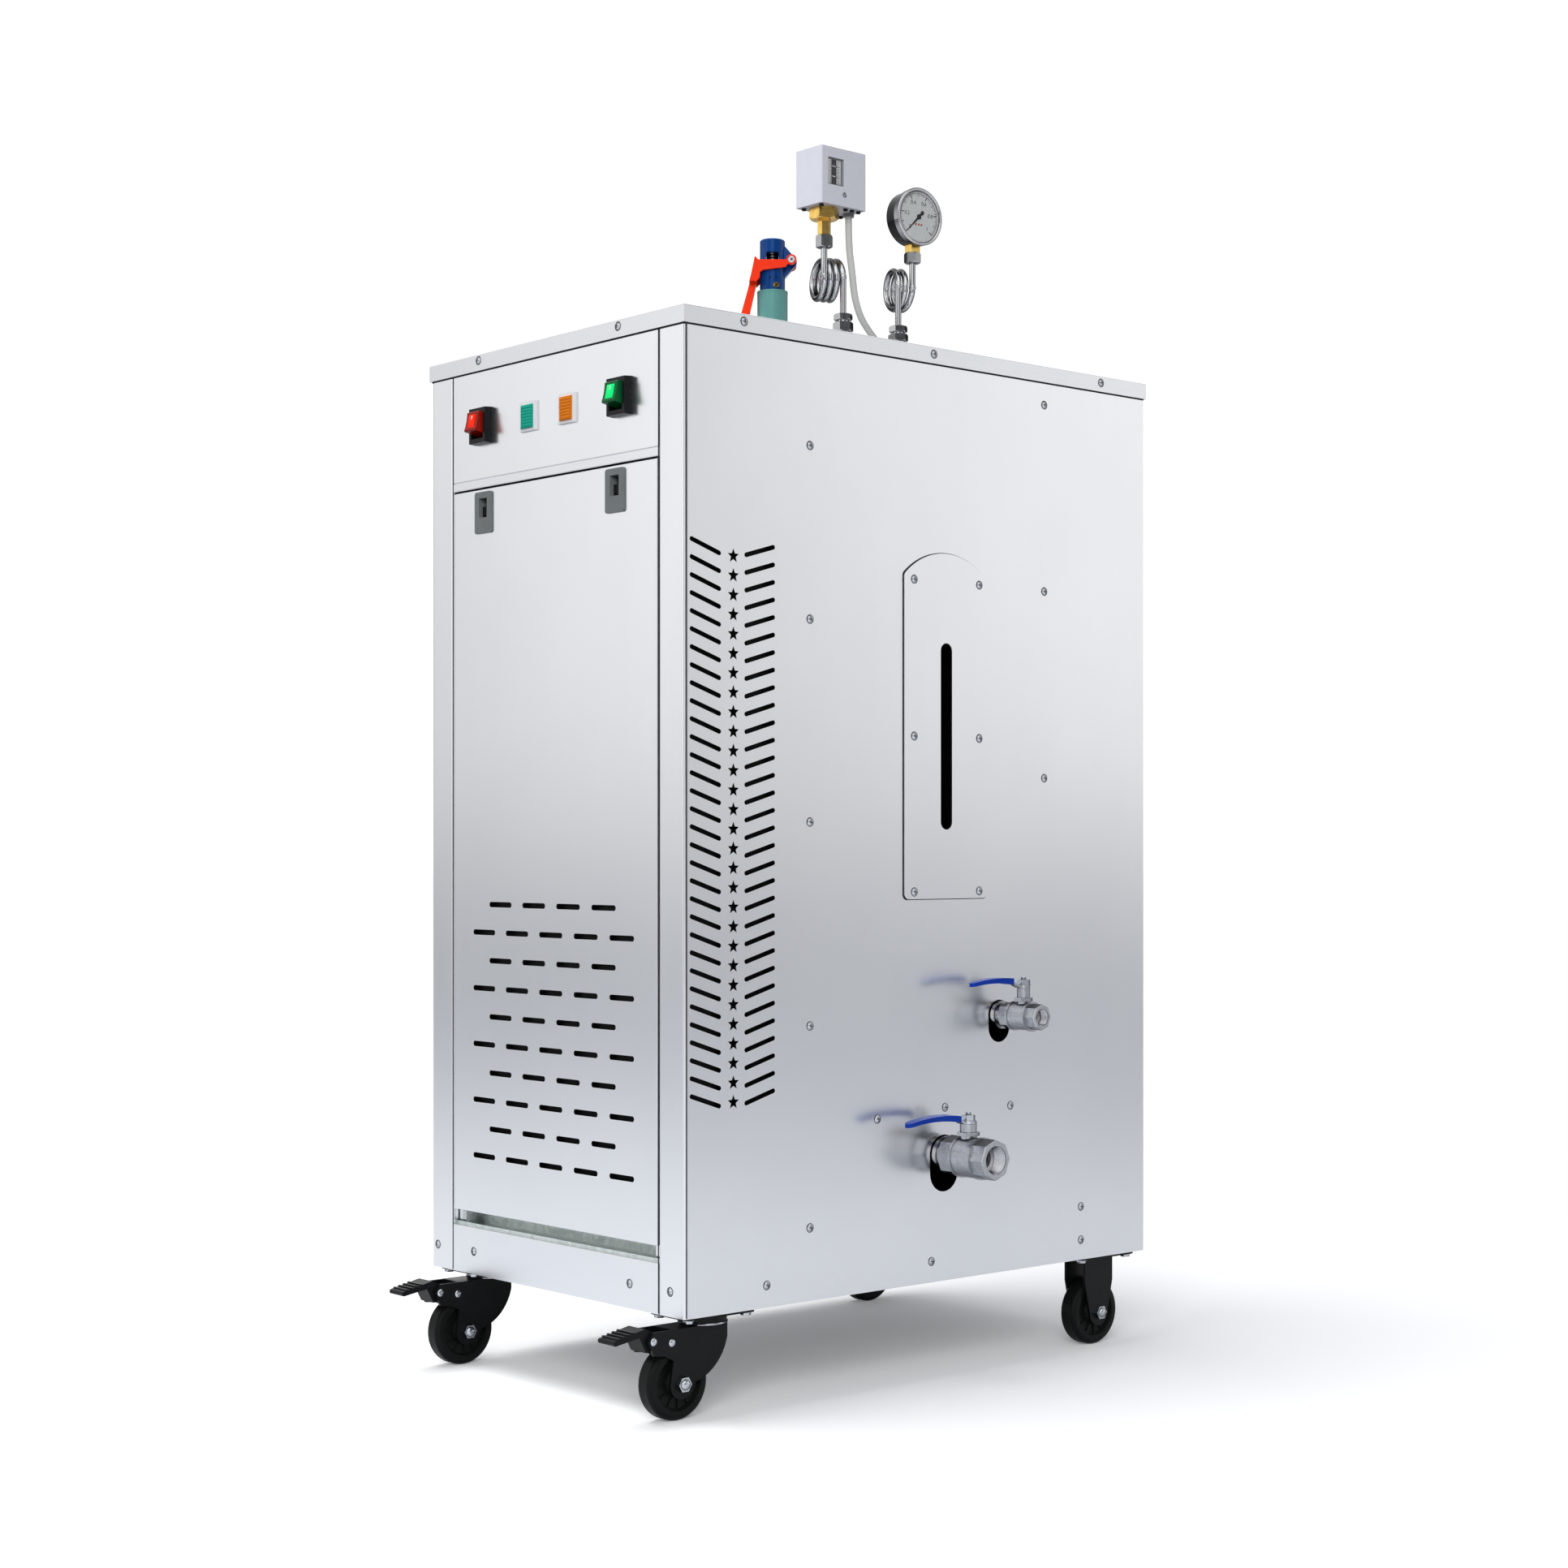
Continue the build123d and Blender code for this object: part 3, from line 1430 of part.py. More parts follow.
with BuildPart() as conduit:
    with BuildLine() as conduit_line:
        FilletPolyline(*route, radius=corner_radii(route))
    with BuildSketch(Plane(origin=route[0], z_dir=Vector(*route[1]) - Vector(*route[0]))):
        Circle(conduit_radius)
    sweep(path=conduit_line.line)
conduit_length = sum(edge.length for edge in conduit_line.edges())
print("conduit length, mm:", round(conduit_length, 1))
conduit_ratio = conduit.part.volume / (pi * conduit_radius ** 2 * conduit_length)
print("conduit volume over its section times its length:", round(conduit_ratio, 6))
save(conduit, "conduit")

with BuildPart() as conduit_glands:
    for spot, low in ((box_exit, box_exit[2]), (lid_entry, top_z)):
        with BuildSketch(Plane.XY.offset(low)):
            with Locations(spot[:2]):
                Circle(gland_radius)
        extrude(amount=gland_height)
save(conduit_glands, "conduit_glands")
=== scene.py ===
# %% [markdown]
# # Dressing an electric steam boiler in a stainless cabinet
# The boiler stands in a tall cabinet of brushed sheet on casters, with two valves on one side and
# its fittings on the lid. Its construction comes in as a fixed frame, where every sheet, valve and
# wheel already has its real size and place. This notebook gives each surface its finish and adds
# what is too fine for the construction, such as screws, dial marks and grip ribs. It could model
# everything afresh, but dressing the frame keeps the look and the construction the same machine.

# %% Load the frame
import json
import math

import bmesh
import bpy
from mathutils import Matrix, Vector


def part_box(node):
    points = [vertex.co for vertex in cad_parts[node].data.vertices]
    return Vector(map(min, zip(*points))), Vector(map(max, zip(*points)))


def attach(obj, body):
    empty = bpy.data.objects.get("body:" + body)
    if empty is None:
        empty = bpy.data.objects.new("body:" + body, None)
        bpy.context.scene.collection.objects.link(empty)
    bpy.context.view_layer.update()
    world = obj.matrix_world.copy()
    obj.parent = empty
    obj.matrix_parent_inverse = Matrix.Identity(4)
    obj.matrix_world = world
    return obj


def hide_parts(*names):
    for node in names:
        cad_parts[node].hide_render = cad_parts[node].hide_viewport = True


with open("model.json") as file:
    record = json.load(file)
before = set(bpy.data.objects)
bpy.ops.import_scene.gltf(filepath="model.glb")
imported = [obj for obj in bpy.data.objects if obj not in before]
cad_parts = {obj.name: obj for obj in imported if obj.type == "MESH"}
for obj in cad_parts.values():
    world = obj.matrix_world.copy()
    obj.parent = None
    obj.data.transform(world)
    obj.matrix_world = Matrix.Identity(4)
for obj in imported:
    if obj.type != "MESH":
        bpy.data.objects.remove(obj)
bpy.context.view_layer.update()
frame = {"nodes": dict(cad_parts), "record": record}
nodes = frame["nodes"]
MM = 0.001
print("framed pieces:", len(nodes))

# %% [markdown]
# ## Reference faces
# A sheet metal worker marks out a panel from its edges. The same is done here: the cabinet's
# faces are read from the frame once, and what is added later is measured from them. Coordinates
# could be typed in for each piece, but then a change of the cabinet would leave them behind.

# %% Faces of the cabinet
side_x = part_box("side_panel_right")[1].x
left_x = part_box("side_panel_left")[0].x
front_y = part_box("front_posts")[0].y
rear_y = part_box("rear_panel")[1].y
base_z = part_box("base_pan")[0].z
lid_low, lid_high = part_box("lid")
middle_x = (side_x + left_x) / 2
print("cabinet", round(side_x - left_x, 3), "wide,", round(rear_y - front_y, 3), "deep")

# %% [markdown]
# ## The camera
# The photograph looks at the corner between the front and the valve side from knee height, with
# upright lines kept upright. Tilting a camera up would get the lid in too, but the cabinet would
# lean. So the camera stays level and its picture is shifted up a little, as on a view camera.

# %% Set the camera
SENSOR = 36
LENS = 60.0
RISING_FRONT = 0.0394
CAMERA_PLACE = (2.1877, -1.9203, 0.5717)
VIEW_DIRECTION = Vector((-0.7541, 0.6568, 0))

camera_data = bpy.data.cameras.new("camera")
camera_data.sensor_width = SENSOR
camera_data.lens = LENS
camera_data.shift_y = RISING_FRONT
camera = bpy.data.objects.new("camera", camera_data)
camera.location = CAMERA_PLACE
camera.rotation_euler = VIEW_DIRECTION.to_track_quat("-Z", "Y").to_euler()
bpy.context.scene.collection.objects.link(camera)
bpy.context.scene.camera = camera
print("camera", round(camera.location.z - base_z, 3), "above the cabinet's underside")

# %% [markdown]
# ## Colours and nodes
# Colours are written as they look on a screen, in hex, but shaders reckon in linear light, so one
# function turns the one into the other. A second one adds a node with its settings and links in
# one line. Wiring each node by hand would work too, and would bury the recipe in plumbing.


# %% Helpers for colours and nodes
def linear(code):
    """An sRGB hex colour as the linear values that shaders work in."""
    channels = [int(code[place:place + 2], 16) / 255 for place in (1, 3, 5)]
    bent = [c / 12.92 if c <= 0.04045 else ((c + 0.055) / 1.055) ** 2.4 for c in channels]
    return (*bent, 1.0)


def set_inputs(tree, node, inputs):
    """Set each input of a node to a value, or link it to a socket."""
    for key, value in inputs.items():
        if isinstance(value, bpy.types.NodeSocket):
            tree.links.new(value, node.inputs[key])
        else:
            node.inputs[key].default_value = value


def add_node(tree, kind, inputs=None, **settings):
    """Add a node with its settings, its values and its links."""
    node = tree.nodes.new(kind)
    for key, value in settings.items():
        setattr(node, key, value)
    set_inputs(tree, node, inputs or {})
    return node


print("mid grey in linear light:", round(linear("#808080")[0], 3))

# %% [markdown]
# ## The room
# Stainless sheet has hardly any colour of its own: what the eye sees is the room in it. An evenly
# white room would leave the cabinet flat, and black cards on stands are what a photographer puts
# up against that. Here they are soft round patches of the world, each an azimuth with a rise. The
# camera itself sees plain white, and matt surfaces get one even grey, so the cards show in gloss
# alone.

# %% Cards in the room
CARD_BLACK = "#202226"
ROOM_WHITE = "#ffffff"
MATT_LIGHT = "#98999d"
ROOM_STRENGTH = 1.12
cards = [
    # azimuth, rise, where the card starts and is full as a cosine, brightness in its middle
    (4, 0.0, 0.70, 0.95, 0.34),  # a broad grey one that the valve side mirrors
    (187, 0.0, 0.845, 0.96, 0.34),  # its twin for the front
    (104, 0.0, 0.92, 0.985, 0.03),  # a narrow black one behind, for the right flank of each tube
    (174, 0.0, 0.95, 0.99, 0.05),  # the same for the left flank
    (350, 0.2, 0.96, 0.99, 0.10),  # a small one to the right of the camera
    (290, 0.2, 0.96, 0.99, 0.15),  # and to its left, for what is round and faces the eye
    (40, 0.95, 0.92, 0.975, 0.15),  # high up to the right, for the shoulders of valves and tubes
    (228, 0.95, 0.92, 0.975, 0.15),  # and high up to the left
]

world = bpy.data.worlds.new("studio")
bpy.context.scene.world = world
world.use_nodes = True
room = world.node_tree
direction = add_node(room, "ShaderNodeTexCoord").outputs["Generated"]
light = 1.0
for azimuth, rise, start, full, level in cards:
    turn = math.radians(azimuth)
    aim = Vector((math.cos(turn), math.sin(turn), rise)).normalized()
    nearness = add_node(
        room, "ShaderNodeVectorMath", {0: direction, 1: aim}, operation="DOT_PRODUCT",
    ).outputs["Value"]
    card = add_node(
        room, "ShaderNodeMapRange",
        {"Value": nearness, "From Min": start, "From Max": full, "To Min": 1.0, "To Max": level},
        interpolation_type="SMOOTHSTEP",
    ).outputs["Result"]
    light = add_node(
        room, "ShaderNodeMath", {0: light, 1: card}, operation="MULTIPLY",
    ).outputs[0]

# %% What each kind of ray sees
ray = add_node(room, "ShaderNodeLightPath").outputs
air = add_node(
    room, "ShaderNodeMix", {0: light, 6: linear(CARD_BLACK), 7: linear(ROOM_WHITE)},
    data_type="RGBA",
).outputs[2]
for kind, colour in (("Is Diffuse Ray", MATT_LIGHT), ("Is Camera Ray", ROOM_WHITE)):
    air = add_node(
        room, "ShaderNodeMix", {0: ray[kind], 6: air, 7: linear(colour)}, data_type="RGBA",
    ).outputs[2]
set_inputs(room, room.nodes["Background"], {"Color": air, "Strength": ROOM_STRENGTH})
bpy.context.scene.view_settings.view_transform = "Standard"
print("room with", len(cards), "cards")

# %% [markdown]
# ## Floor and lamps
# The floor is one large grid, which isn't part of the boiler. Two square softboxes light it, one
# over the lid and one behind the camera. Bare point lamps would give hard shadows that the
# photograph doesn't have. The softboxes are hidden from gloss, because as bright squares in the
# sheet they would drown the slow shading of the cards.

# %% Floor
FLOOR_REACH = 40

floor_mesh = bpy.data.meshes.new("floor")
floor_shape = bmesh.new()
bmesh.ops.create_grid(floor_shape, x_segments=1, y_segments=1, size=FLOOR_REACH)
floor_shape.to_mesh(floor_mesh)
floor_shape.free()
floor = bpy.data.objects.new("floor", floor_mesh)
bpy.context.scene.collection.objects.link(floor)
print("floor", 2 * FLOOR_REACH, "m wide")

# %% Softboxes
softboxes = [
    # name, place, what it is aimed at, width in metres, power in watts
    ("top", Vector((-0.8, -0.9, 4.2)), Vector((0, 0, 0.5)), 2.4, 125),
    ("fill", Vector((3.3, -3.3, 2.4)), Vector((0, 0, 0.7)), 2.2, 125),
]
for name, place, aim, width, power in softboxes:
    lamp_data = bpy.data.lights.new(name, "AREA")
    lamp_data.shape = "SQUARE"
    lamp_data.size = width
    lamp_data.energy = power
    lamp = bpy.data.objects.new(name, lamp_data)
    lamp.location = place
    lamp.rotation_euler = (aim - place).to_track_quat("-Z", "Y").to_euler()
    lamp.visible_glossy = False
    bpy.context.scene.collection.objects.link(lamp)
    print("softbox", name, round((aim - place).length, 2), "m from its aim")

# %% [markdown]
# ## The wiring conduit
# A pale PVC sheath carries the switch's wires from the box down to the lid. It hangs in one short
# smooth line. Short straight runs with rounded corners would look like bent wire, so it is a NURBS
# curve with a round bevel, and its control points are the route that the construction uses. The
# order has to be set after the points. A curve's box reaches past its points by their radius, so
# the points carry the real radius and the bevel is left at one.

# %% Conduit
conduit_radius = 0.004
conduit_route = [
    (-0.04554, 0.1239, 1.2995),
    (-0.04554, 0.1239, 1.267),
    (-0.0448, 0.1288, 1.237),
    (-0.0458, 0.1333, 1.209),
    (-0.0495, 0.1463, 1.1865),
    (-0.0548, 0.1668, 1.1725),
    (-0.0608, 0.1888, 1.1605),
    (-0.0656, 0.2078, 1.146),
    (-0.0692, 0.2208, 1.128),
    (-0.0692, 0.2208, 1.109),
]
conduit_curve = bpy.data.curves.new("wiring_conduit", "CURVE")
conduit_curve.dimensions = "3D"
conduit_curve.bevel_depth = 1.0
conduit_curve.bevel_resolution = 6
conduit_curve.resolution_u = 16
conduit_curve.use_fill_caps = True
line = conduit_curve.splines.new("NURBS")
line.points.add(len(conduit_route) - 1)
for point, place in zip(line.points, conduit_route):
    point.co = (*place, 1)
    point.radius = conduit_radius
line.order_u = 3
line.use_endpoint_u = True
conduit = bpy.data.objects.new("wiring_conduit", conduit_curve)
bpy.context.scene.collection.objects.link(conduit)
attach(conduit, "cabinet")
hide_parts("conduit")
print("conduit drops", round(conduit_route[0][2] - conduit_route[-1][2], 3), "m")

# %% [markdown]
# ## Finishes
# Few surfaces are one even colour. Most finishes here share a recipe: a slow pattern mottles two
# shades, and a finer one varies the gloss and gives the skin its relief. An image texture could do
# the same, but a pattern from noise has no edge or repeat. It reads object coordinates, so its
# features keep their real size in millimetres on every piece.

# %% The shared recipe
EVEN = (1, 1, 1)


def start_material(name):
    """A new material, its node tree, its principled shader and its object coordinates."""
    material = bpy.data.materials.new(name)
    material.use_nodes = True
    tree = material.node_tree
    place = add_node(tree, "ShaderNodeTexCoord").outputs["Object"]
    return material, tree, tree.nodes["Principled BSDF"], place


def finish(name, shades, rough, patterns, relief=None, gloss_from=-1, painted_flank_shade=None, inputs=None):
    """A finish with two shades, a range of roughness and one or two patterns.

    A pattern is the size of its features in millimetres, its stretch along each axis and its
    detail. The first one mottles the shades and the last one carries the relief, which is a depth
    in millimetres and a strength. gloss_from picks the pattern that varies the roughness.
    painted_flank_shade is painted shade: a darker base colour where the surface turns away from
    the camera, in place of the dark cards' reflection, with the turns where it starts and is full.
    """
    material, tree, shader, place = start_material(name)
    values = []
    for size, stretch, detail in patterns:
        scale = [1 / (size * MM * length) for length in stretch]
        scaled = add_node(tree, "ShaderNodeMapping", {"Vector": place, "Scale": scale})
        values.append(add_node(
            tree, "ShaderNodeTexNoise",
            {"Vector": scaled.outputs[0], "Scale": 1.0, "Detail": detail, "Roughness": 0.5},
        ).outputs["Fac"])
    colour = add_node(
        tree, "ShaderNodeMix", {0: values[0], 6: linear(shades[0]), 7: linear(shades[1])},
        data_type="RGBA",
    ).outputs[2]
    # Painted shade: the base colour darkens where the surface turns away from the camera.
    if painted_flank_shade:
        dark, start, full = painted_flank_shade
        facing = add_node(tree, "ShaderNodeLayerWeight", {"Blend": 0.5}).outputs["Facing"]
        painted_shade_mask = add_node(
            tree, "ShaderNodeMapRange", {"Value": facing, "From Min": start, "From Max": full},
            interpolation_type="SMOOTHSTEP",
        ).outputs["Result"]
        colour = add_node(
            tree, "ShaderNodeMix", {0: painted_shade_mask, 6: colour, 7: linear(dark)}, data_type="RGBA",
        ).outputs[2]
    gloss = add_node(
        tree, "ShaderNodeMapRange",
        {"Value": values[gloss_from], "To Min": rough[0], "To Max": rough[1]},
    ).outputs["Result"]
    set_inputs(tree, shader, {"Base Color": colour, "Roughness": gloss, **(inputs or {})})
    if relief:
        depth, strength = relief
        skin = add_node(
            tree, "ShaderNodeBump",
            {"Height": values[-1], "Distance": depth * MM, "Strength": strength},
        ).outputs["Normal"]
        set_inputs(tree, shader, {"Normal": skin})
    return material


# %% [markdown]
# ## Stainless sheet
# The cabinet is AISI 304 sheet, rolled and lightly brushed, which leaves fine parallel scratches
# many centimetres long. Real ones are some hundredths of a millimetre wide and would vanish
# between two pixels, so they are drawn 0.7 mm wide. They could be real grooves in the mesh, but a
# pattern drawn out along one axis does it without a single extra face. Each sheet has its grain
# along its own length, which is why there are four of them.


# %% Brushed stainless
def brushed_stainless(name, grain_along, shades, rough):
    """Brushed stainless with its grain along X, Y or Z."""
    grain = [200 if axis == grain_along else 1 for axis in "XYZ"]
    return finish(
        name, shades, rough, [(180, EVEN, 2), (0.7, grain, 2)], relief=(0.003, 0.4),
        inputs={"Metallic": 1.0},
    )


# Walls and doors: bright, with upright grain that draws each highlight out sideways.
upright_sheet = brushed_stainless(
    "brushed_stainless_upright", "Z", ("#e6e8eb", "#eef0f2"), (0.20, 0.28),
)
# The lid: a little duller, because it is seen at a low angle and has been leaned on.
level_sheet = brushed_stainless(
    "brushed_stainless_level", "Y", ("#dee1e5", "#e7e9ec"), (0.24, 0.32),
)
# The base pan's underside: an unpolished mill finish, and its flat dark grey is painted shade that
# keeps the floor's shadow under the cabinet dark.
shaded_underside_sheet = brushed_stainless(
    "dull_stainless_underside", "Y", ("#76797d", "#8b8e92"), (0.4, 0.5),
)
# Kick rail and cross rail: the same sheet, cut with the grain running across the front.
cross_sheet = brushed_stainless(
    "brushed_stainless_across", "X", ("#e4e6ea", "#eceef0"), (0.25, 0.28),
)
print("brushed sheets: upright, level, dull and across")

# %% [markdown]
# ## Galvanised sheet
# The channel that the access panel stands in is hot-dip galvanised. Zinc freezes in flat crystals
# some millimetres wide, each turned its own way. Noise would give soft clouds, so the crystals come
# from a pattern of cells instead, where each cell has one colour. Its red channel sets both how
# pale and how shiny a crystal is.

# %% Zinc crystals
CRYSTAL = 6.25

galvanised, tree, shader, place = start_material("galvanised_sheet")
crystal = add_node(tree, "ShaderNodeTexVoronoi", {"Vector": place, "Scale": 1 / (CRYSTAL * MM)})
tone = add_node(tree, "ShaderNodeSeparateColor", {0: crystal.outputs["Color"]}).outputs[0]
set_inputs(tree, shader, {
    "Metallic": 1.0,
    "Base Color": add_node(
        tree, "ShaderNodeMix", {0: tone, 6: linear("#c6cfcc"), 7: linear("#e2e8e5")},
        data_type="RGBA",
    ).outputs[2],
    "Roughness": add_node(
        tree, "ShaderNodeMapRange", {"Value": tone, "To Min": 0.34, "To Max": 0.5},
    ).outputs["Result"],
})
print("galvanised crystals", CRYSTAL, "mm wide")

# %% [markdown]
# ## Castings, tube, plated steel and brass
# These are all bare metals, told apart by how their skin was made. A metal has no colour but its
# gloss, and on small round parts that gloss falls off into grey where the surface turns away,
# because it mirrors the black cards there. The room's cards alone are too soft for parts a few
# millimetres wide, so the recipe paints that reflection in as shade: painted_flank_shade darkens
# the base colour towards the edge. This painted shade is a shortcut: it goes by where the camera
# stands, so it slides from view to view, and an exported model may lose it.

# %% Bare metals
# Investment castings, bead blasted: a pebbled skin of 0.8 mm scatters the light. Painted
# shade darkens their edges.
cast_stainless = finish(
    "blasted_casting", ("#a0a3a8", "#cfd1d5"), (0.16, 0.34), [(5, EVEN, 3), (0.8, EVEN, 4)],
    relief=(0.14, 0.6), painted_flank_shade=("#55585d", 0.28, 0.8), inputs={"Metallic": 1.0},
)
# Drawn tube, polished along its length: bright, with a painted dark reflection down each flank.
polished_tube = finish(
    "polished_stainless", ("#d4d5d8", "#e2e3e5"), (0.07, 0.2), [(2.2, (1, 1, 6), 3)],
    relief=(0.03, 0.4), painted_flank_shade=("#46484b", 0.16, 0.55), inputs={"Metallic": 1.0},
)
# Bright zinc plate on screws, nuts and washers: smooth, with a faint blue cloudiness, and painted
# shade towards the edges.
zinc_plate = finish(
    "bright_zinc_plate", ("#bcc2ca", "#dfe2e6"), (0.12, 0.28), [(2.5, EVEN, 3)],
    painted_flank_shade=("#54575c", 0.2, 0.7), inputs={"Metallic": 1.0},
)
# The drum's hot-rolled steel: dark and dull, with mill scale in broad upright clouds.
rolled_steel = finish(
    "rolled_steel", ("#55575a", "#7d8083"), (0.35, 0.55), [(25, (1, 1, 3), 4)],
    inputs={"Metallic": 1.0},
)
# Free-machining brass off a lathe: fine rings from the tool under a brown tint from fingers.
brass = finish(
    "turned_brass", ("#d9a336", "#ffe08c"), (0.14, 0.3), [(6, EVEN, 3), (0.5, (60, 60, 1), 2)],
    relief=(0.02, 0.5), inputs={"Metallic": 1.0},
)
print("bare metals: casting, tube, zinc plate, rolled steel and brass")

# %% [markdown]
# ## Paint, plastic and rubber
# Enamel and moulded plastic are a coloured body under a clear skin, and the skin is what tells
# them apart: sprayed enamel has a faint orange peel, moulded parts a fine even texture, rubber a
# dusty sheen. One colour with one gloss would look like a toy. So each gets a fine grit of its own
# for relief, and clouds fourteen times as wide for shade and gloss.


# %% Coated and moulded finishes
def coated(name, colour, shade, roughness, grit, depth, coat=None):
    """A painted or moulded skin, with a grit and a depth in millimetres and perhaps a coat."""
    inputs = {"Metallic": 0.0, "Specular IOR Level": 0.14}
    if coat:
        inputs["Coat Weight"], inputs["Coat Roughness"] = coat
    return finish(
        name, (shade, colour), (max(roughness - 0.06, 0.04), roughness + 0.06),
        [(grit * 14, EVEN, 3), (grit, EVEN, 2)], relief=(depth, 0.5), gloss_from=0, inputs=inputs,
    )


# Sprayed enamel under a thin clear coat: rich colour, and highlights with a slight orange peel.
teal_enamel = coated("teal_enamel", "#6aa39d", "#558b86", 0.24, 1.4, 0.04, (0.1, 0.1))
blue_enamel = coated("blue_enamel", "#0a468f", "#06326c", 0.22, 1.6, 0.05, (0.1, 0.06))
red_enamel = coated("red_enamel", "#ff3a08", "#f02c04", 0.35, 1.5, 0.05, (0.1, 0.15))
black_enamel = coated("black_enamel", "#1a1b1c", "#0f1011", 0.2, 1.2, 0.04, (0.1, 0.1))
# Powder coat, baked on: an even fine orange peel with a broad soft sheen.
white_enamel = coated("white_powder_coat", "#dfe1ea", "#d7d9e2", 0.38, 0.9, 0.05)
# Pressed caster steel, electrocoated: nearly black, with wide highlights along its folds.
caster_black = coated("black_coated_steel", "#121314", "#0b0c0d", 0.3, 1.0, 0.05, (0.1, 0.2))
# Solid tyre rubber: dull, and never quite black because of its dust.
tyre_rubber = coated("hard_rubber", "#161717", "#0f1010", 0.4, 1.1, 0.06)
# Moulded nylon: the pedals have a spark-eroded texture, the switch housings a smoother one.
pedal_nylon = coated("black_nylon", "#191a1b", "#111213", 0.32, 0.8, 0.08)
switch_black = coated("moulded_nylon", "#1e1e21", "#151517", 0.26, 0.6, 0.04)
gland_nylon = coated("grey_nylon", "#8e9092", "#7f8183", 0.4, 0.7, 0.04)
# Lever sleeves dipped in vinyl: thick, saturated, with the slow waves of a dipped skin.
vinyl_sleeve = coated("dipped_vinyl", "#0a47c8", "#063092", 0.3, 3.0, 0.15, (0.1, 0.2))
# White polycarbonate lamp bezels: the smoothest moulding on the boiler.
bezel_white = coated("moulded_white", "#f3f4f4", "#e9eaeb", 0.3, 0.6, 0.02)
# Latches of die-cast zinc, painted grey: matt, with the casting's grain under the paint.
latch_grey = coated("grey_die_casting", "#7e8383", "#6f7474", 0.42, 0.8, 0.06)
# Extruded PVC sheath: pale and slightly waxy.
conduit_pvc = coated("pale_pvc", "#d9dad6", "#cccdc9", 0.35, 1.2, 0.03, (0.2, 0.03))
# Printed aluminium dial with its two inks: flat, matt and clean.
dial_card = coated("printed_dial", "#f2f2f1", "#e9e9e8", 0.5, 0.5, 0.01)
ink_black = coated("dial_ink", "#101113", "#08090a", 0.5, 0.5, 0.005)
ink_red = coated("dial_red_ink", "#c8452f", "#b53a26", 0.5, 0.5, 0.005)
# What no light reaches: the gap at a sheet's edge, and the dark inside of the cabinet.
seam_shadow_grey = coated("shaded_seam", "#3c3f43", "#2b2d30", 0.6, 0.8, 0.01)
shadow_black = coated("unlit_recess", "#0a0c0d", "#060708", 0.6, 0.8, 0.02)
print("coated and moulded finishes made")

# %% [markdown]
# ## Lamp lenses and rockers
# Lit lenses are clear acrylic dyed through, with a small bulb behind. A strong emission alone
# would turn them into flat stickers. They get subsurface light, because the dye scatters it, and
# only as much emission as leaves their prisms visible.


# %% Dyed lenses
def dyed_lens(name, colour, glow, roughness):
    """A dyed translucent moulding, weakly lit from within, with faint smears of 4 mm."""
    material, tree, shader, place = start_material(name)
    smears = add_node(
        tree, "ShaderNodeTexNoise",
        {"Vector": place, "Scale": 1 / (4 * MM), "Detail": 2, "Roughness": 0.5},
    ).outputs["Fac"]
    gloss = add_node(
        tree, "ShaderNodeMapRange",
        {"Value": smears, "To Min": roughness - 0.03, "To Max": roughness + 0.05},
    ).outputs["Result"]
    set_inputs(tree, shader, {
        "Base Color": linear(colour), "Roughness": gloss, "Specular IOR Level": 0.1,
        "Subsurface Weight": 0.3, "Subsurface Scale": 0.002,
        "Emission Color": linear(colour), "Emission Strength": glow,
    })
    return material


# Signal lamps: deep colour with a weak glow.
lens_green = dyed_lens("teal_lens", "#009c84", 0.08, 0.18)
lens_amber = dyed_lens("amber_lens", "#d27200", 0.08, 0.18)
# Rocker bodies: dark, and hardly lit.
rocker_red = dyed_lens("dark_red_rocker", "#8e1405", 0.02, 0.12)
rocker_green = dyed_lens("dark_green_rocker", "#045a2c", 0.02, 0.12)
# The windows in them: bright, because the bulb sits right behind.
window_red = dyed_lens("lit_red_window", "#e02000", 0.35, 0.15)
window_green = dyed_lens("lit_green_window", "#00d870", 0.35, 0.15)
print("dyed lenses made")

# %% [markdown]
# ## Glass
# The gauge, the switch and the level window have thin flat panes. A full glass shader would bend
# the light and need many bounces to come out again, and a thin pane hardly bends it. So the pane
# is a mix: clear where the eye looks straight through, and glossy towards a low angle. Faint
# smears of 12 mm break that gloss up.

# %% Clear pane
clear_glass, tree, shader, place = start_material("clear_glass")
tree.nodes.remove(shader)
smears = add_node(
    tree, "ShaderNodeTexNoise",
    {"Vector": place, "Scale": 1 / (12 * MM), "Detail": 2, "Roughness": 0.5},
).outputs["Fac"]
gloss = add_node(
    tree, "ShaderNodeMapRange", {"Value": smears, "To Min": 0.01, "To Max": 0.08},
).outputs["Result"]
sheen = add_node(tree, "ShaderNodeBsdfGlossy", {"Roughness": gloss})
through = add_node(tree, "ShaderNodeBsdfTransparent", {"Color": linear("#fdfefe")})
edge = add_node(tree, "ShaderNodeFresnel", {"IOR": 1.25}).outputs[0]
pane = add_node(
    tree, "ShaderNodeMixShader", {0: edge, 1: through.outputs[0], 2: sheen.outputs[0]},
)
set_inputs(tree, tree.nodes["Material Output"], {"Surface": pane.outputs[0]})
print("clear pane made, with smears of 12 mm")

# %% [markdown]
# ## Pale floor
# A white studio sweep has no horizon. A bent backdrop would do that from one side only, and this
# object is looked at from all sides, so the flat floor goes over into plain white further out.
# Near the boiler it takes its shadow. The metal sees the floor as a pale grey and gets a darker
# grey bounced off it, which keeps the foot of every panel from glowing.

# %% Floor finish
SHADOW_START, SHADOW_END = 0.75, 1.9

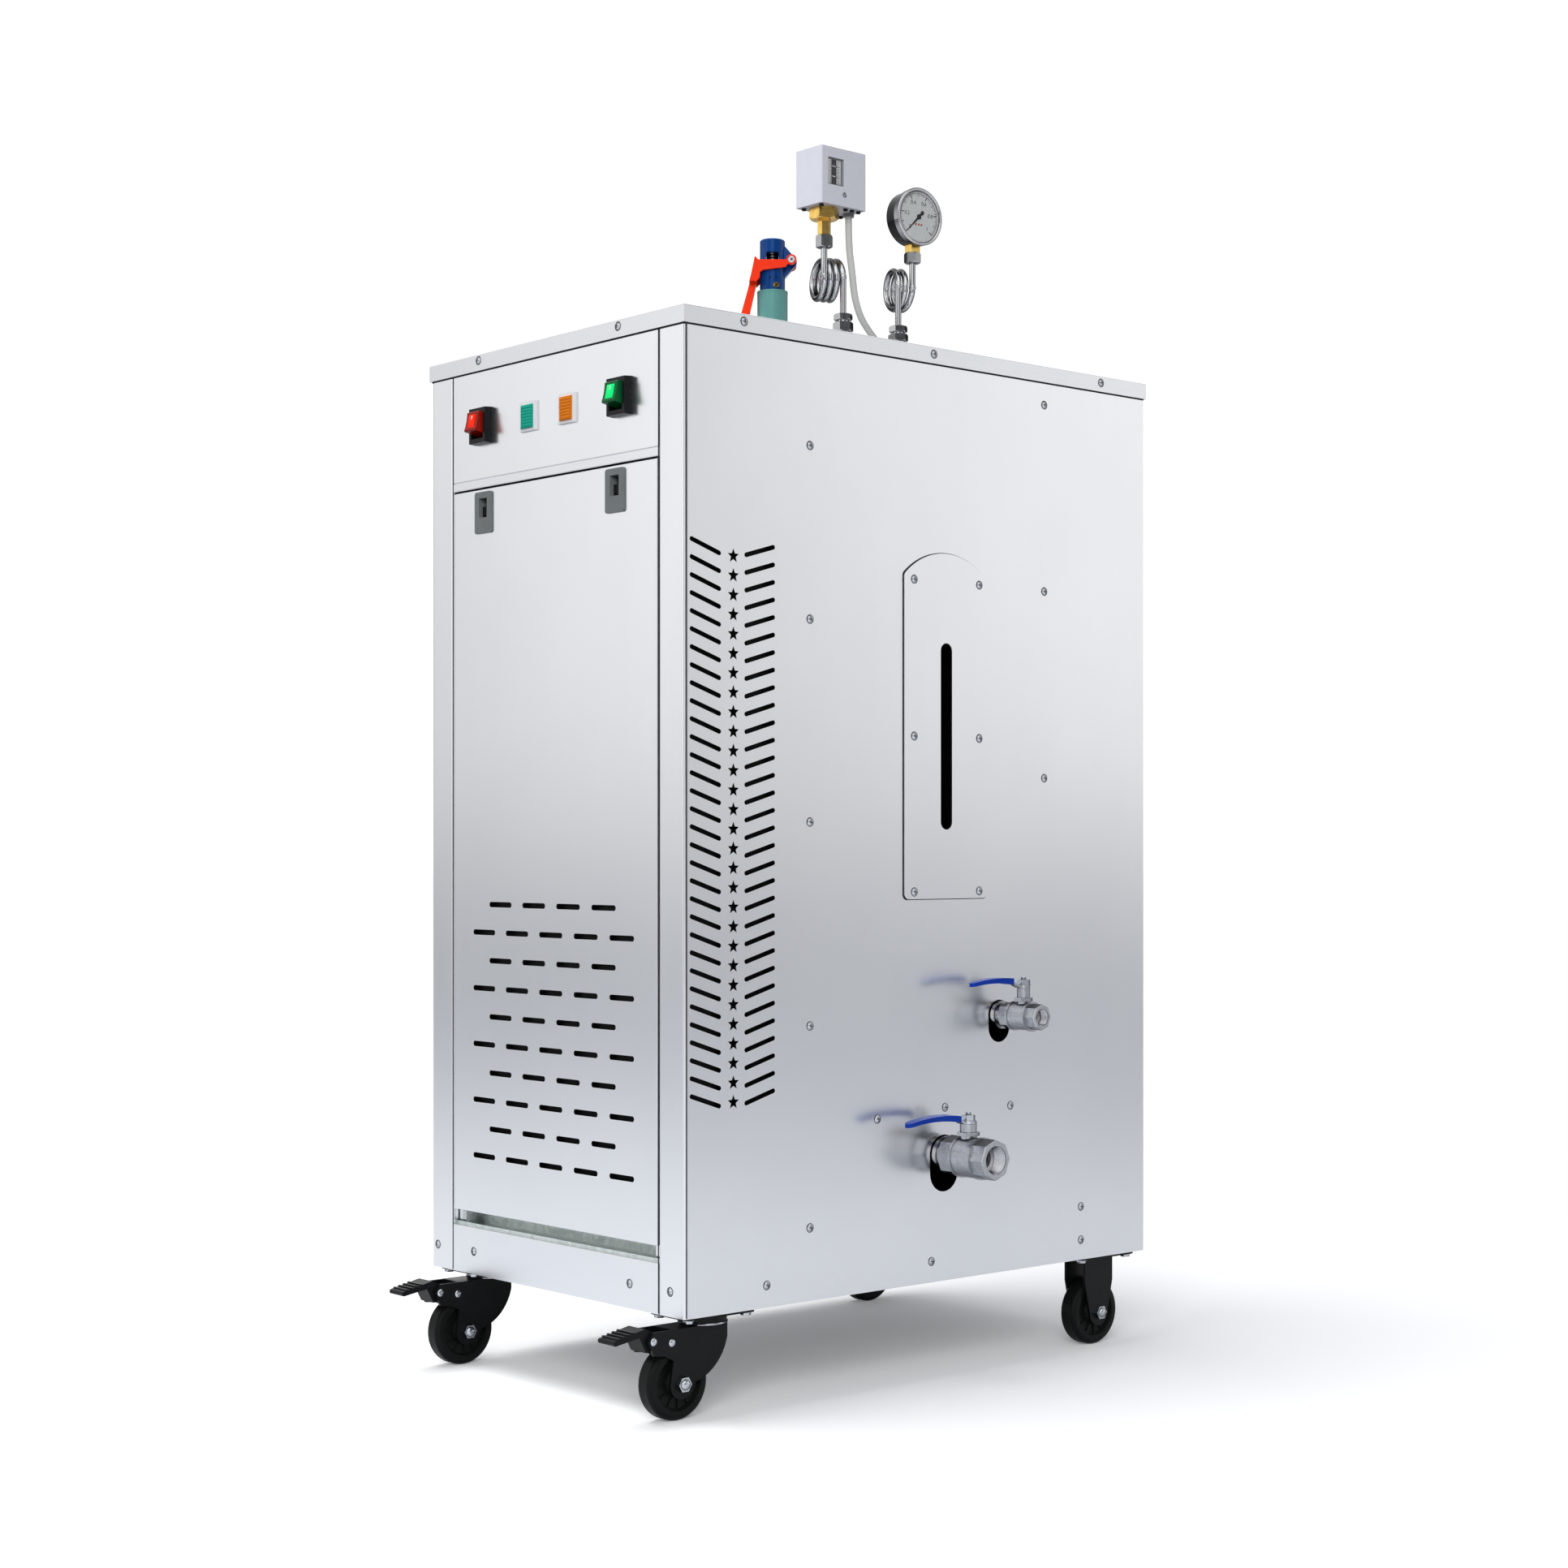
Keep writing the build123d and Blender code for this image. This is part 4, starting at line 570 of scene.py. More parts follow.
floor_white, tree, shader, place = start_material("pale_floor")
cloud = add_node(
    tree, "ShaderNodeTexNoise",
    {"Vector": place, "Scale": 1 / (900 * MM), "Detail": 3, "Roughness": 0.5},
).outputs["Fac"]
paint = add_node(
    tree, "ShaderNodeMix", {0: cloud, 6: linear("#fbfcfd"), 7: linear("#ffffff")},
    data_type="RGBA",
).outputs[2]
set_inputs(tree, shader, {
    "Base Color": paint, "Roughness": 0.8, "Specular IOR Level": 0.0,
    "Emission Color": linear("#ffffff"), "Emission Strength": 0.15,
})
from_middle = add_node(
    tree, "ShaderNodeVectorMath", {0: place}, operation="LENGTH",
).outputs["Value"]
far = add_node(
    tree, "ShaderNodeMapRange",
    {"Value": from_middle, "From Min": SHADOW_START, "From Max": SHADOW_END},
    interpolation_type="SMOOTHSTEP",
).outputs["Result"]
white = add_node(tree, "ShaderNodeEmission", {"Color": linear("#ffffff"), "Strength": 1.0})
mirrored = add_node(tree, "ShaderNodeBsdfDiffuse", {"Color": linear("#e6e8eb")})
bounced = add_node(tree, "ShaderNodeBsdfDiffuse", {"Color": linear("#6a6c70")})
seen = add_node(
    tree, "ShaderNodeMixShader", {0: far, 1: shader.outputs[0], 2: white.outputs[0]},
)
ray = add_node(tree, "ShaderNodeLightPath").outputs
unseen = add_node(
    tree, "ShaderNodeMixShader",
    {0: ray["Is Glossy Ray"], 1: bounced.outputs[0], 2: mirrored.outputs[0]},
)
surface = add_node(
    tree, "ShaderNodeMixShader",
    {0: ray["Is Camera Ray"], 1: unseen.outputs[0], 2: seen.outputs[0]},
)
set_inputs(tree, tree.nodes["Material Output"], {"Surface": surface.outputs[0]})
floor_mesh.materials.append(floor_white)
print("floor turns plain white", SHADOW_END, "m out")

# %% [markdown]
# ## A finish for every framed piece
# The construction already says what each piece is made of, by the name of its slot. Giving out
# finishes by that name is shorter than piece by piece, and a piece that is added later gets its
# own without a new line. Only the sheets whose grain runs another way are named one by one.

# %% Give out the finishes
finish_of_slot = {
    "stainless_sheet": upright_sheet, "galvanised_sheet": galvanised,
    "stainless_pipe": polished_tube, "cast_stainless": cast_stainless,
    "drum_steel": rolled_steel, "zinc_plate": zinc_plate, "caster_black": caster_black,
    "caster_tyre": tyre_rubber, "pedal_plastic": pedal_nylon, "brass": brass,
    "valve_teal": teal_enamel, "bonnet_blue": blue_enamel, "lever_red": red_enamel,
    "sleeve_blue": vinyl_sleeve, "switch_black": switch_black, "rocker_red": rocker_red,
    "rocker_green": rocker_green, "bezel_white": bezel_white, "lens_green": lens_green,
    "lens_amber": lens_amber, "latch_grey": latch_grey, "case_white": white_enamel,
    "gauge_black": black_enamel, "dial_white": dial_card, "level_glass": clear_glass,
    "conduit_white": conduit_pvc, "gland_grey": gland_nylon,
}
slot_of = {part["node"]: part["material_slot"] for part in frame["record"]["subparts"]}
for name, node in nodes.items():
    node.data.materials.clear()
    node.data.materials.append(finish_of_slot[slot_of[name]])
nodes["lid"].data.materials[0] = level_sheet
# The underside takes the sheet whose dark grey is painted shade.
nodes["base_pan"].data.materials[0] = shaded_underside_sheet
for name in ("kick_rail", "cross_rail"):
    nodes[name].data.materials[0] = cross_sheet
conduit.data.materials.append(conduit_pvc)
print("finishes given to", len(nodes), "framed pieces from", len(finish_of_slot), "slots")

# %% [markdown]
# ## Small shapes
# The fittings below are turned, pressed or stamped parts, so two operators make nearly all of
# them: spin for what comes off a lathe, and extrude for what is cut from plate. Each is drawn once
# in millimetres about its own origin and then set square on its face. Modelling it in place would
# save that step, but a screw would have to be drawn again for every panel.


# %% Shape helpers
def set_square(place, out, up=(0, 0, 1)):
    """A matrix at a place, its local Z out of a face and its local Y as near up as can be."""
    z = Vector(out).normalized()
    x = Vector(up).cross(z).normalized()
    return Matrix.Translation(place) @ Matrix((x, z.cross(x), z)).transposed().to_4x4()


def turned(profile, sides=32):
    """A solid turned about Z from (radius, height) pairs."""
    shape = bmesh.new()
    points = [shape.verts.new((radius, 0, height)) for radius, height in profile]
    edges = [shape.edges.new(pair) for pair in zip(points, points[1:])]
    bmesh.ops.spin(
        shape, geom=points + edges, cent=(0, 0, 0), axis=(0, 0, 1), angle=math.tau, steps=sides,
        use_merge=True,
    )
    bmesh.ops.remove_doubles(shape, verts=shape.verts, dist=0.0005)
    bmesh.ops.recalc_face_normals(shape, faces=shape.faces)
    return shape


def prism(outline, low, high, bevel=0.0):
    """A solid with a flat outline of (x, y) points, from one height to another."""
    shape = bmesh.new()
    face = shape.faces.new([shape.verts.new((x, y, low)) for x, y in outline])
    raised = bmesh.ops.extrude_face_region(shape, geom=[face])["geom"]
    top = [part for part in raised if isinstance(part, bmesh.types.BMVert)]
    bmesh.ops.translate(shape, vec=(0, 0, high - low), verts=top)
    bmesh.ops.recalc_face_normals(shape, faces=shape.faces)
    if bevel:
        bmesh.ops.bevel(
            shape, geom=shape.edges, offset=bevel, segments=2, profile=0.5, affect="EDGES",
            clamp_overlap=True, material=-1,
        )
    return shape


def slab(width, height, low, high, bevel=0.0, x=0.0, y=0.0):
    """A rectangular prism about a point."""
    w, h = width / 2, height / 2
    corners = [(x - w, y - h), (x + w, y - h), (x + w, y + h), (x - w, y + h)]
    return prism(corners, low, high, bevel)


# %% Pieces that ride on a body
def as_piece(name, shape, material, body, sharp=35):
    """Make a shape into an object that rides on a body, smooth except at its sharp edges."""
    for face in shape.faces:
        face.smooth = True
    for edge in shape.edges:
        edge.smooth = edge.calc_face_angle(0) < math.radians(sharp)
    mesh = bpy.data.meshes.new(name)
    shape.to_mesh(mesh)
    mesh.materials.append(material)
    piece = bpy.data.objects.new(name, mesh)
    bpy.context.scene.collection.objects.link(piece)
    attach(piece, body)
    print(name, "with", len(mesh.polygons), "faces, on", body)


def fitting(name, parts, material, body, sharp=35):
    """One piece of small shapes in millimetres, each with its own place in the frame."""
    whole = bmesh.new()
    for shape, place in parts:
        mesh = bpy.data.meshes.new("part")
        shape.to_mesh(mesh)
        mesh.transform(place @ Matrix.Scale(MM, 4))
        whole.from_mesh(mesh)
        bpy.data.meshes.remove(mesh)
    as_piece(name, whole, material, body, sharp)


# %% Places on the cabinet's faces, in millimetres
FRONT, BACK = Vector((0, -1, 0)), Vector((0, 1, 0))
SIDE, LEFT = Vector((1, 0, 0)), Vector((-1, 0, 0))
UP, DOWN = Vector((0, 0, 1)), Vector((0, 0, -1))


def on_front(across, rise, out=0):
    """A point on the front, across from its middle line and above the cabinet's underside."""
    return Vector((middle_x + across * MM, front_y - out * MM, base_z + rise * MM))


def on_side(back, rise, out=0):
    """A point on the valve side, behind the front face and above the cabinet's underside."""
    return Vector((side_x + out * MM, front_y + back * MM, base_z + rise * MM))


def on_left(back, rise, out=0):
    """The same on the left side."""
    return Vector((left_x - out * MM, front_y + back * MM, base_z + rise * MM))


def on_rear(across, rise, out=0):
    """A point on the rear, across from its middle line and above the cabinet's underside."""
    return Vector((middle_x + across * MM, rear_y + out * MM, base_z + rise * MM))


# %% [markdown]
# ## Screws
# Every panel is held by cross-recess pan heads, which show as small pale discs on the sheet. A
# picture of a screw on a flat disc would pass from the front, but seen from aside only a turned
# head catches the light as metal does. So one head is turned, and a dark cross of painted shade
# stands for the recess in it; both are set at every screw's place.

# %% Where the screws are
SKIRT_OUT = 2.4
COVER_OUT = 2.0
FOOT_RISE = 22.5
foot_row = [(back, FOOT_RISE) for back in (107, 339, 574)]
skirt_row = [(back, 992, SKIRT_OUT) for back in (75, 340.6, 605)]
front_screws = [
    (-129.7, 993, SKIRT_OUT), (118.7, 993, SKIRT_OUT),
    (-142.2, 25), (134.9, 25), (-211.9, 25), (200.5, 25),
]
side_screws = [(165.4, rise) for rise in (877, 699, 491, 282, 75)]
side_screws += [(514, rise) for rise in (957, 749.6, 541.9)]
side_screws += [(260, 180), (460, 181.5), (359.5, 186), *foot_row, (574, 60), *skirt_row]
cover_screws = [
    (back, rise, COVER_OUT) for rise in (749.7, 583.2, 417.7) for back in (311.7, 409.5)
]
rear_screws = [(-129.7, 993, SKIRT_OUT), (118.7, 993, SKIRT_OUT)]
rear_screws += [(across, FOOT_RISE) for across in (-200, 0, 200)]
screw_places = [
    *(set_square(on_front(*spot), FRONT) for spot in front_screws),
    *(set_square(on_side(*spot), SIDE) for spot in side_screws + cover_screws),
    *(set_square(on_left(*spot), LEFT) for spot in foot_row + skirt_row),
    *(set_square(on_rear(*spot), BACK) for spot in rear_screws),
]
print("panel screws:", len(screw_places))

# %% Panel screws
HEAD_SIDES = 28
RECESS_REACH, RECESS_HALF = 2, 0.4

pan_head = turned(
    [(4.2, -0.2), (4.2, 0.35), (3.5, 0.6), (3.35, 0.9), (2.9, 1.5), (1.9, 1.9), (0, 2.05)],
    HEAD_SIDES,
)
a, b = RECESS_REACH, RECESS_HALF
recess_shade_cross = prism(
    [(-a, -b), (-b, -b), (-b, -a), (b, -a), (b, -b), (a, -b),
     (a, b), (b, b), (b, a), (-b, a), (-b, b), (-a, b)],
    1.6, 2.1,
)
heads = [(pan_head, place) for place in screw_places]
fitting("panel_screws", heads, zinc_plate, "cabinet")
# The recess is not cut: a dark cross of painted shade stands on the head.
recess_shades = [(recess_shade_cross, place) for place in screw_places]
fitting("panel_screw_recesses", recess_shades, seam_shadow_grey, "cabinet")

# %% [markdown]
# ## Seams
# Folded sheets never quite meet. A hairline of shadow runs under the lid's skirt, down the posts'
# inner edges, round the cover plate and round every screw, and it is what tells one piece from
# the next. The gaps in the construction are that narrow too, but a gap lit from all sides fills
# with light, so each one gets a thin dark strip or ring of painted shadow.

# %% Seams between the panels
SEAM_DROP = 0.7
SEAM_LOW, SEAM_HIGH = -0.2, 0.25
POST_GAP = 0.6
CORNER_BACK = 2.6
END_GAP = 1.0

width, deep = (side_x - left_x) / MM, (rear_y - front_y) / MM
upright = (lid_low.z - base_z) / MM
seam_length = upright - 2 * END_GAP
strips = []
for spot, out, length in (
    (on_front(0, 0), FRONT, width), (on_side(deep / 2, 0), SIDE, deep),
    (on_rear(0, 0), BACK, width), (on_left(deep / 2, 0), LEFT, deep),
):
    spot.z = lid_low.z - SEAM_DROP * MM
    strips.append((slab(length, 1.4, SEAM_LOW, SEAM_HIGH), set_square(spot, out)))
panel_low, panel_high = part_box("control_panel")
for x in (panel_low.x - POST_GAP * MM, panel_high.x + POST_GAP * MM):
    spot = Vector((x, front_y, base_z + upright / 2 * MM))
    strips.append((slab(1.3, seam_length, SEAM_LOW, SEAM_HIGH), set_square(spot, FRONT)))
corner = set_square(on_side(CORNER_BACK, upright / 2), SIDE)
strips.append((slab(1.0, seam_length, SEAM_LOW, 0.2), corner))
fitting("panel_seam_shadows", strips, seam_shadow_grey, "cabinet")

# %% Shadow line of the cover plate
LINE_WIDTH = 0.9

low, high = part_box("sight_cover")
middle, reach = (low + high) / 2, (high - low) / 2
grow = Matrix.Diagonal((0.15, 1 + LINE_WIDTH * MM / reach.y, 1 + LINE_WIDTH * MM / reach.z, 1))
back = Vector((low.x, middle.y, middle.z))
foot = Vector((low.x + 0.2 * MM, middle.y, middle.z))
plate = nodes["sight_cover"].data.copy()
plate.name = "cover_shadow_line"
plate.transform(Matrix.Translation(foot) @ grow @ Matrix.Translation(-back))
plate.materials.clear()
plate.materials.append(seam_shadow_grey)
shadow_line = bpy.data.objects.new("cover_shadow_line", plate)
bpy.context.scene.collection.objects.link(shadow_line)
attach(shadow_line, "cabinet")
print("cover_shadow_line", LINE_WIDTH, "mm past the plate, on cabinet")

# %% Shadow rings of the screws
ring = turned([(4.9, -0.1), (4.9, 0.05), (4.2, 0.06)], HEAD_SIDES)
rings = [(ring, place) for place in screw_places]
fitting("panel_screw_shadow_rings", rings, seam_shadow_grey, "cabinet")

# %% [markdown]
# ## Painted shade behind the vents
# From outside, every slot and star is black, because the compartment behind is unlit. Leaving
# them open would let the eye run straight through the cabinet and out at the other side. A thin
# dark sheet of painted shade just behind each field of holes closes that view, and stays out of
# the holes.

# %% Painted shade behind the vents
for name, spots, size, body in (
    ("side_vent_screens", ((on_side(63, 488, -7), SIDE), (on_left(63, 488, -7), LEFT)),
     (112, 600), "cabinet"),
    ("front_vent_screen", ((on_front(0, 267, -7), FRONT),), (320, 310), "access_panel"),
):
    parts = [(slab(*size, -0.5, 0, 0.2), set_square(spot, out)) for spot, out in spots]
    fitting(name, parts, shadow_black, body)

# %% [markdown]
# ## Rockers, lamps and latches
# A rocker switch is a dark translucent body with a brighter lit window. Its face leans back twelve
# degrees when it is off, so the window is set square to that face and rides with the rocker. The
# lamps have a grid of small prisms inside their lenses. A bump pattern could fake them, but their
# flat facets only flash when they are real. Latches get a ribbed thumb slide in a recess whose
# dark back is painted shade.

# %% Rockers
CONTROL_RISE = 921
LEAN = math.radians(12)
PIVOT_DEPTH = 3
FACE_REACH = 19.2
WINDOW_WIDTH, WINDOW_HEIGHT = 12.5, 15

inward = Vector((0, math.cos(LEAN), -math.sin(LEAN)))
for colour, window in (("red", window_red), ("green", window_green)):
    low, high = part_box(f"rocker_{colour}")
    pivot_y = front_y + PIVOT_DEPTH * MM
    pivot = Vector(((low.x + high.x) / 2, pivot_y, on_front(0, CONTROL_RISE).z))
    face = set_square(pivot - inward * FACE_REACH * MM, -inward)
    rocker = f"rocker_{colour}"
    lit = slab(WINDOW_WIDTH, WINDOW_HEIGHT, -1.2, 0.55, 0.5)
    fitting(f"rocker_window_{colour}", [(lit, face)], window, rocker)
    mark = slab(1.1, 4.2, 0.5, 0.72, 0.1, y=3.6)
    fitting(f"rocker_mark_{colour}", [(mark, face)], bezel_white, rocker)

# %% Grip ribs of the switch housings
HOUSING_ACROSS = (-123, 123)
HOUSING_HALF = 15.1
RIB_COUNT, RIB_PITCH = 7, 4.5

ribs = []
for across in HOUSING_ACROSS:
    for step in range(RIB_COUNT):
        rise = CONTROL_RISE + (step - (RIB_COUNT - 1) / 2) * RIB_PITCH
        for side in (-1, 1):
            spot = on_front(across + side * HOUSING_HALF, rise, 4)
            place = set_square(spot, Vector((side, 0, 0)), BACK)
            ribs.append((slab(1.2, 5.2, -0.5, 0.35, 0.15), place))
fitting("housing_ribs", ribs, switch_black, "cabinet")

# %% Lamp prisms
PRISM_COLUMNS, PRISM_ROWS = 6, 7
PRISM_WIDE, PRISM_HIGH = 3.1, 3.2

prism_tip = turned([(2.05, -0.1), (2.05, 0), (0.5, 0.55), (0, 0.6)], 4)
quarter_turned = Matrix.Rotation(math.pi / 4, 4, "Z")
for colour, material, across in (("green", lens_green, -38), ("amber", lens_amber, 31)):
    parts = []
    for column in range(PRISM_COLUMNS):
        for row in range(PRISM_ROWS):
            x = across + (column - (PRISM_COLUMNS - 1) / 2) * PRISM_WIDE
            rise = CONTROL_RISE + (row - (PRISM_ROWS - 1) / 2) * PRISM_HIGH
            place = set_square(on_front(x, rise, 4.5), FRONT) @ quarter_turned
            parts.append((prism_tip, place))
    fitting(f"lamp_prisms_{colour}", parts, material, "cabinet", 10)

# %% Latch slides
LATCH_RISE = 832.5
LATCH_DEPTH = 5
GRIP_PITCH = 2.1

for end, across in (("left", -122), ("right", 112)):
    centre = set_square(on_front(across, LATCH_RISE, -LATCH_DEPTH), FRONT)
    slide = [(slab(13.4, 11, -2, 2.6, 0.5, y=-3.4), centre)]
    for step in range(4):
        slide.append((slab(11, 0.9, 2.4, 3.3, 0.2, y=-6.6 + GRIP_PITCH * step), centre))
    fitting(f"latch_slide_{end}", slide, pedal_nylon, "access_panel")
    # The recess's back is a dark slab of painted shade.
    recess = [(slab(14.8, 20.8, -3.4, -2.9), centre)]
    fitting(f"latch_recess_shade_{end}", recess, shadow_black, "access_panel")

# %% [markdown]
# ## Valves
# The open end of each ball valve shows its pipe thread, the white seat ring and the shut ball's
# polished face. A thread is really a helix, but nobody can follow one turn of it inside a pipe,
# and closed rings of the same pitch are far simpler to keep watertight. A washer sits under each
# lever's nut, and the stem's own thread stands above it and turns with the lever.


# %% Valve ends, washers and stems
MOUTH_SIDES = 40


def pipe_thread(bore, length, pitch):
    """The profile of a female thread: rings that step back from the mouth."""
    profile = [(bore + 0.2, 0.0)]
    depth = -1.0
    while depth > -length:
        profile += [(bore, depth), (bore - 1.1, depth - pitch / 2), (bore, depth - pitch)]
        depth -= pitch
    return profile


def valve_detail(name, back, rise, reach, bore, thread, pitch, stem_out, lever_rise):
    """Thread, seat and ball of one valve, with the washer and thread of its stem."""
    mouth = set_square(on_side(back, rise, reach), SIDE)
    rings = [(turned(pipe_thread(bore, thread - 5, pitch), MOUTH_SIDES), mouth)]
    fitting(f"{name}_valve_thread", rings, cast_stainless, "cabinet", 25)

    low, high = 0.6 - thread, 2.4 - thread
    seat_profile = [(bore, low), (bore, high), (bore * 0.86, high), (bore * 0.78, low)]
    seat = turned(seat_profile, MOUTH_SIDES)
    fitting(f"{name}_valve_seat", [(seat, mouth)], bezel_white, "cabinet")

    radius, crown = bore * 1.05, 3.1 - thread
    cap = [
        (radius * math.sin(angle), crown - radius * (1 - math.cos(angle)))
        for angle in (math.radians(12 * step) for step in reversed(range(5)))
    ]
    ball = turned(cap, MOUTH_SIDES)
    fitting(f"{name}_valve_ball", [(ball, mouth)], polished_tube, "cabinet")

    stem = set_square(on_side(back, rise + lever_rise - 6.5 + 2.8, stem_out), UP, BACK)
    washer = turned([(5.6, 0), (8.0, 0), (8.0, 0.9), (5.6, 1.0)], 32)
    threads = [(0, 9.4), (2.6, 9.4), (3.1, 8.9)]
    for turn in range(3):
        threads += [(3.1, 8.6 - turn), (2.7, 8.3 - turn), (3.1, 8.0 - turn)]
    parts = [(washer, stem), (turned(threads, 24), stem)]
    fitting(f"{name}_stem_washer", parts, zinc_plate, f"{name}_lever")


valve_detail(
    "drain", back=357.6, rise=136, reach=78, bore=15.1, thread=20, pitch=2.3,
    stem_out=37, lever_rise=42,
)
valve_detail(
    "feed", back=442, rise=282, reach=65, bore=9.3, thread=15, pitch=1.8,
    stem_out=37, lever_rise=37,
)

# %% [markdown]
# ## Casters
# Domed nuts close the axles, two bright rivets hold each side of a front fork, and four bolts hold
# each plate to the base pan. The wheels have thin moulded ribs in their recessed webs, which only
# show when the wheel is low in the picture, so one rib is drawn and set round the hub by steps of
# a turn. An array modifier could do that too, but it would need an empty, which isn't exported.

# %% Caster places and small parts
CASTER_ACROSS = 188
FRONT_CASTER, REAR_CASTER = 52, 625
TRAIL = 39
AXLE_HEIGHT = 37.5
AXLE_HALF, WEB_HALF = 21, 7
WHEEL_RIBS = 12


def by_the_floor(across, back, height):
    """A point across from the middle line, behind the front face and above the floor."""
    return Vector((middle_x + across * MM, front_y + back * MM, height * MM))


def under(across, back, drop):
    """A point across from the middle line, behind the front face and below the underside."""
    return Vector((middle_x + across * MM, front_y + back * MM, base_z - drop * MM))


def hexagon(flats):
    """The corners of a hexagon, by its width across flats."""
    reach = flats / 2 / math.cos(math.pi / 6)
    angles = [math.tau * step / 6 for step in range(6)]
    return [(reach * math.cos(angle), reach * math.sin(angle)) for angle in angles]


dome = turned([(5.6, -0.4), (5.6, 0.5), (4.9, 1.9), (3.4, 2.9), (1.6, 3.35), (0, 3.4)], 24)
rivet = turned([(4.1, -0.2), (4.1, 0.3), (3.4, 1.1), (1.8, 1.6), (0, 1.7)], 20)
bolt = prism(hexagon(10), 0, 3.6, 0.5)
plate_washer = turned([(6.4, -0.1), (6.4, 0.8), (0, 0.8)], 24)
wheel_rib = slab(1.1, 9.5, -0.4, 1.7, 0.3, y=20.2)
race_ring = turned([(23.2, 0), (25.2, 0), (25.6, 0.8), (25.2, 1.7), (23.5, 1.7)], 48)
print("caster parts drawn: dome, rivet, bolt, washer, rib and race ring")

# %% Front and rear casters
axle_back = {"front": FRONT_CASTER - TRAIL, "rear": REAR_CASTER}
plate_places = []
for name, across in (("left", -CASTER_ACROSS), ("right", CASTER_ACROSS)):
    nuts, rivets = [], []
    for side in (-1, 1):
        axle = by_the_floor(across + side * AXLE_HALF, axle_back["front"], AXLE_HEIGHT)
        nuts.append((dome, set_square(axle, (side, 0, 0))))
        for back, drop in ((-23, 21.5), (0, 25)):
            spot = under(across + side * 16, back, drop)
            rivets.append((rivet, set_square(spot, (side, 0, 0))))
    caster = f"front_caster_{name}"
    fitting(f"front_axle_domes_{name}", nuts, zinc_plate, caster)
    fitting(f"fork_rivets_{name}", rivets, zinc_plate, caster)
    for end, back in axle_back.items():
        ribs = []
        for side in (-1, 1):
            hub = set_square(
                by_the_floor(across + side * WEB_HALF, back, AXLE_HEIGHT), (side, 0, 0),
            )
            for step in range(WHEEL_RIBS):
                turn = Matrix.Rotation(math.tau * step / WHEEL_RIBS, 4, "Z")
                ribs.append((wheel_rib, hub @ turn))
        wheel = f"{end}_wheel_{name}"
        fitting(f"{end}_wheel_ribs_{name}", ribs, tyre_rubber, wheel)
    for back in (FRONT_CASTER, REAR_CASTER):
        for dx in (-23, 23):
            for dy in (-37, 37):
                spot = under(across + dx, back + dy, 3)
                plate_places.append(set_square(spot, DOWN, BACK))

# %% Plates, rear axles and swivel races
bolts = [(bolt, place) for place in plate_places]
washers = [(plate_washer, place) for place in plate_places]
rear_nuts, races = [], []
for across in (-CASTER_ACROSS, CASTER_ACROSS):
    for side in (-1, 1):
        spot = by_the_floor(across + side * AXLE_HALF, REAR_CASTER, AXLE_HEIGHT)
        rear_nuts.append((dome, set_square(spot, (side, 0, 0))))
    races.append((race_ring, set_square(under(across, FRONT_CASTER, 11.9), UP, BACK)))
for name, parts in (
    ("plate_bolts", bolts), ("plate_washers", washers), ("rear_axle_domes", rear_nuts),
    ("race_rings", races),
):
    fitting(name, parts, zinc_plate, "cabinet")

# %% [markdown]
# ## Safety valve
# The valve stands turned on the lid, so its own two directions are named first. Its spring and
# spindle show through the bonnet's window, a brass screw locks the setting, and a rivet head
# closes each end of the lever's pivot. The spring is a wire wound round the spindle. A curve with
# a round bevel gives that from one line, where a mesh would need its tube built turn by turn.

# %% Directions of the safety valve
LEVER_TURN = math.radians(48.95)
ACROSS = Vector((math.cos(LEVER_TURN), math.sin(LEVER_TURN), 0))
FACING = Vector((math.sin(LEVER_TURN), -math.cos(LEVER_TURN), 0))


def on_lid(across, back, rise=0):
    """A point over the lid, from its middle line, the front face and the lid's top."""
    return Vector((middle_x + across * MM, front_y + back * MM, lid_high.z + rise * MM))


safety = on_lid(0, 307)
safety_upright = set_square(safety, UP, BACK)
print("safety valve turned", round(math.degrees(LEVER_TURN), 2), "degrees on the lid")

# %% Spindle and spring
SPRING_FOOT, SPRING_PITCH, SPRING_RADIUS = 122.4, 3.4, 5.4
SPRING_TURNS, STEPS_PER_TURN = 3, 24
WIRE_RADIUS = 0.95

spindle = turned([(0, 121), (2.6, 121), (2.6, 134), (0, 134)], 24)
fitting("safety_spindle", [(spindle, safety_upright)], brass, "cabinet")

spring = bpy.data.curves.new("safety_spring", "CURVE")
spring.dimensions = "3D"
spring.bevel_depth = 1.0
spring.bevel_resolution = 4
coil = spring.splines.new("POLY")
coil.points.add(SPRING_TURNS * STEPS_PER_TURN)
for step, point in enumerate(coil.points):
    angle = math.tau * step / STEPS_PER_TURN
    spot = safety + Vector((
        SPRING_RADIUS * MM * math.cos(angle), SPRING_RADIUS * MM * math.sin(angle),
        (SPRING_FOOT + SPRING_PITCH * step / STEPS_PER_TURN) * MM,
    ))
    point.co = (*spot, 1)
    point.radius = WIRE_RADIUS * MM
spring_piece = bpy.data.objects.new("safety_spring", spring)
bpy.context.scene.collection.objects.link(spring_piece)
spring_piece.data.materials.append(zinc_plate)
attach(spring_piece, "cabinet")
print("safety_spring with", SPRING_TURNS, "turns, on cabinet")

# %% Bonnet window, lock screw and weep holes
BONNET_WALL = 14.2
LOCK_RISE, LOCK_ACROSS = 95, 4.3

# Painted shade: a dark slab behind the bonnet's window stands for its unlit inside.
window_back = set_square(safety - FACING * 7.5 * MM, FACING)
parts = [(slab(13.8, 8.8, -0.4, 0.4, y=127.5), window_back)]
fitting("safety_window_shade", parts, shadow_black, "cabinet")


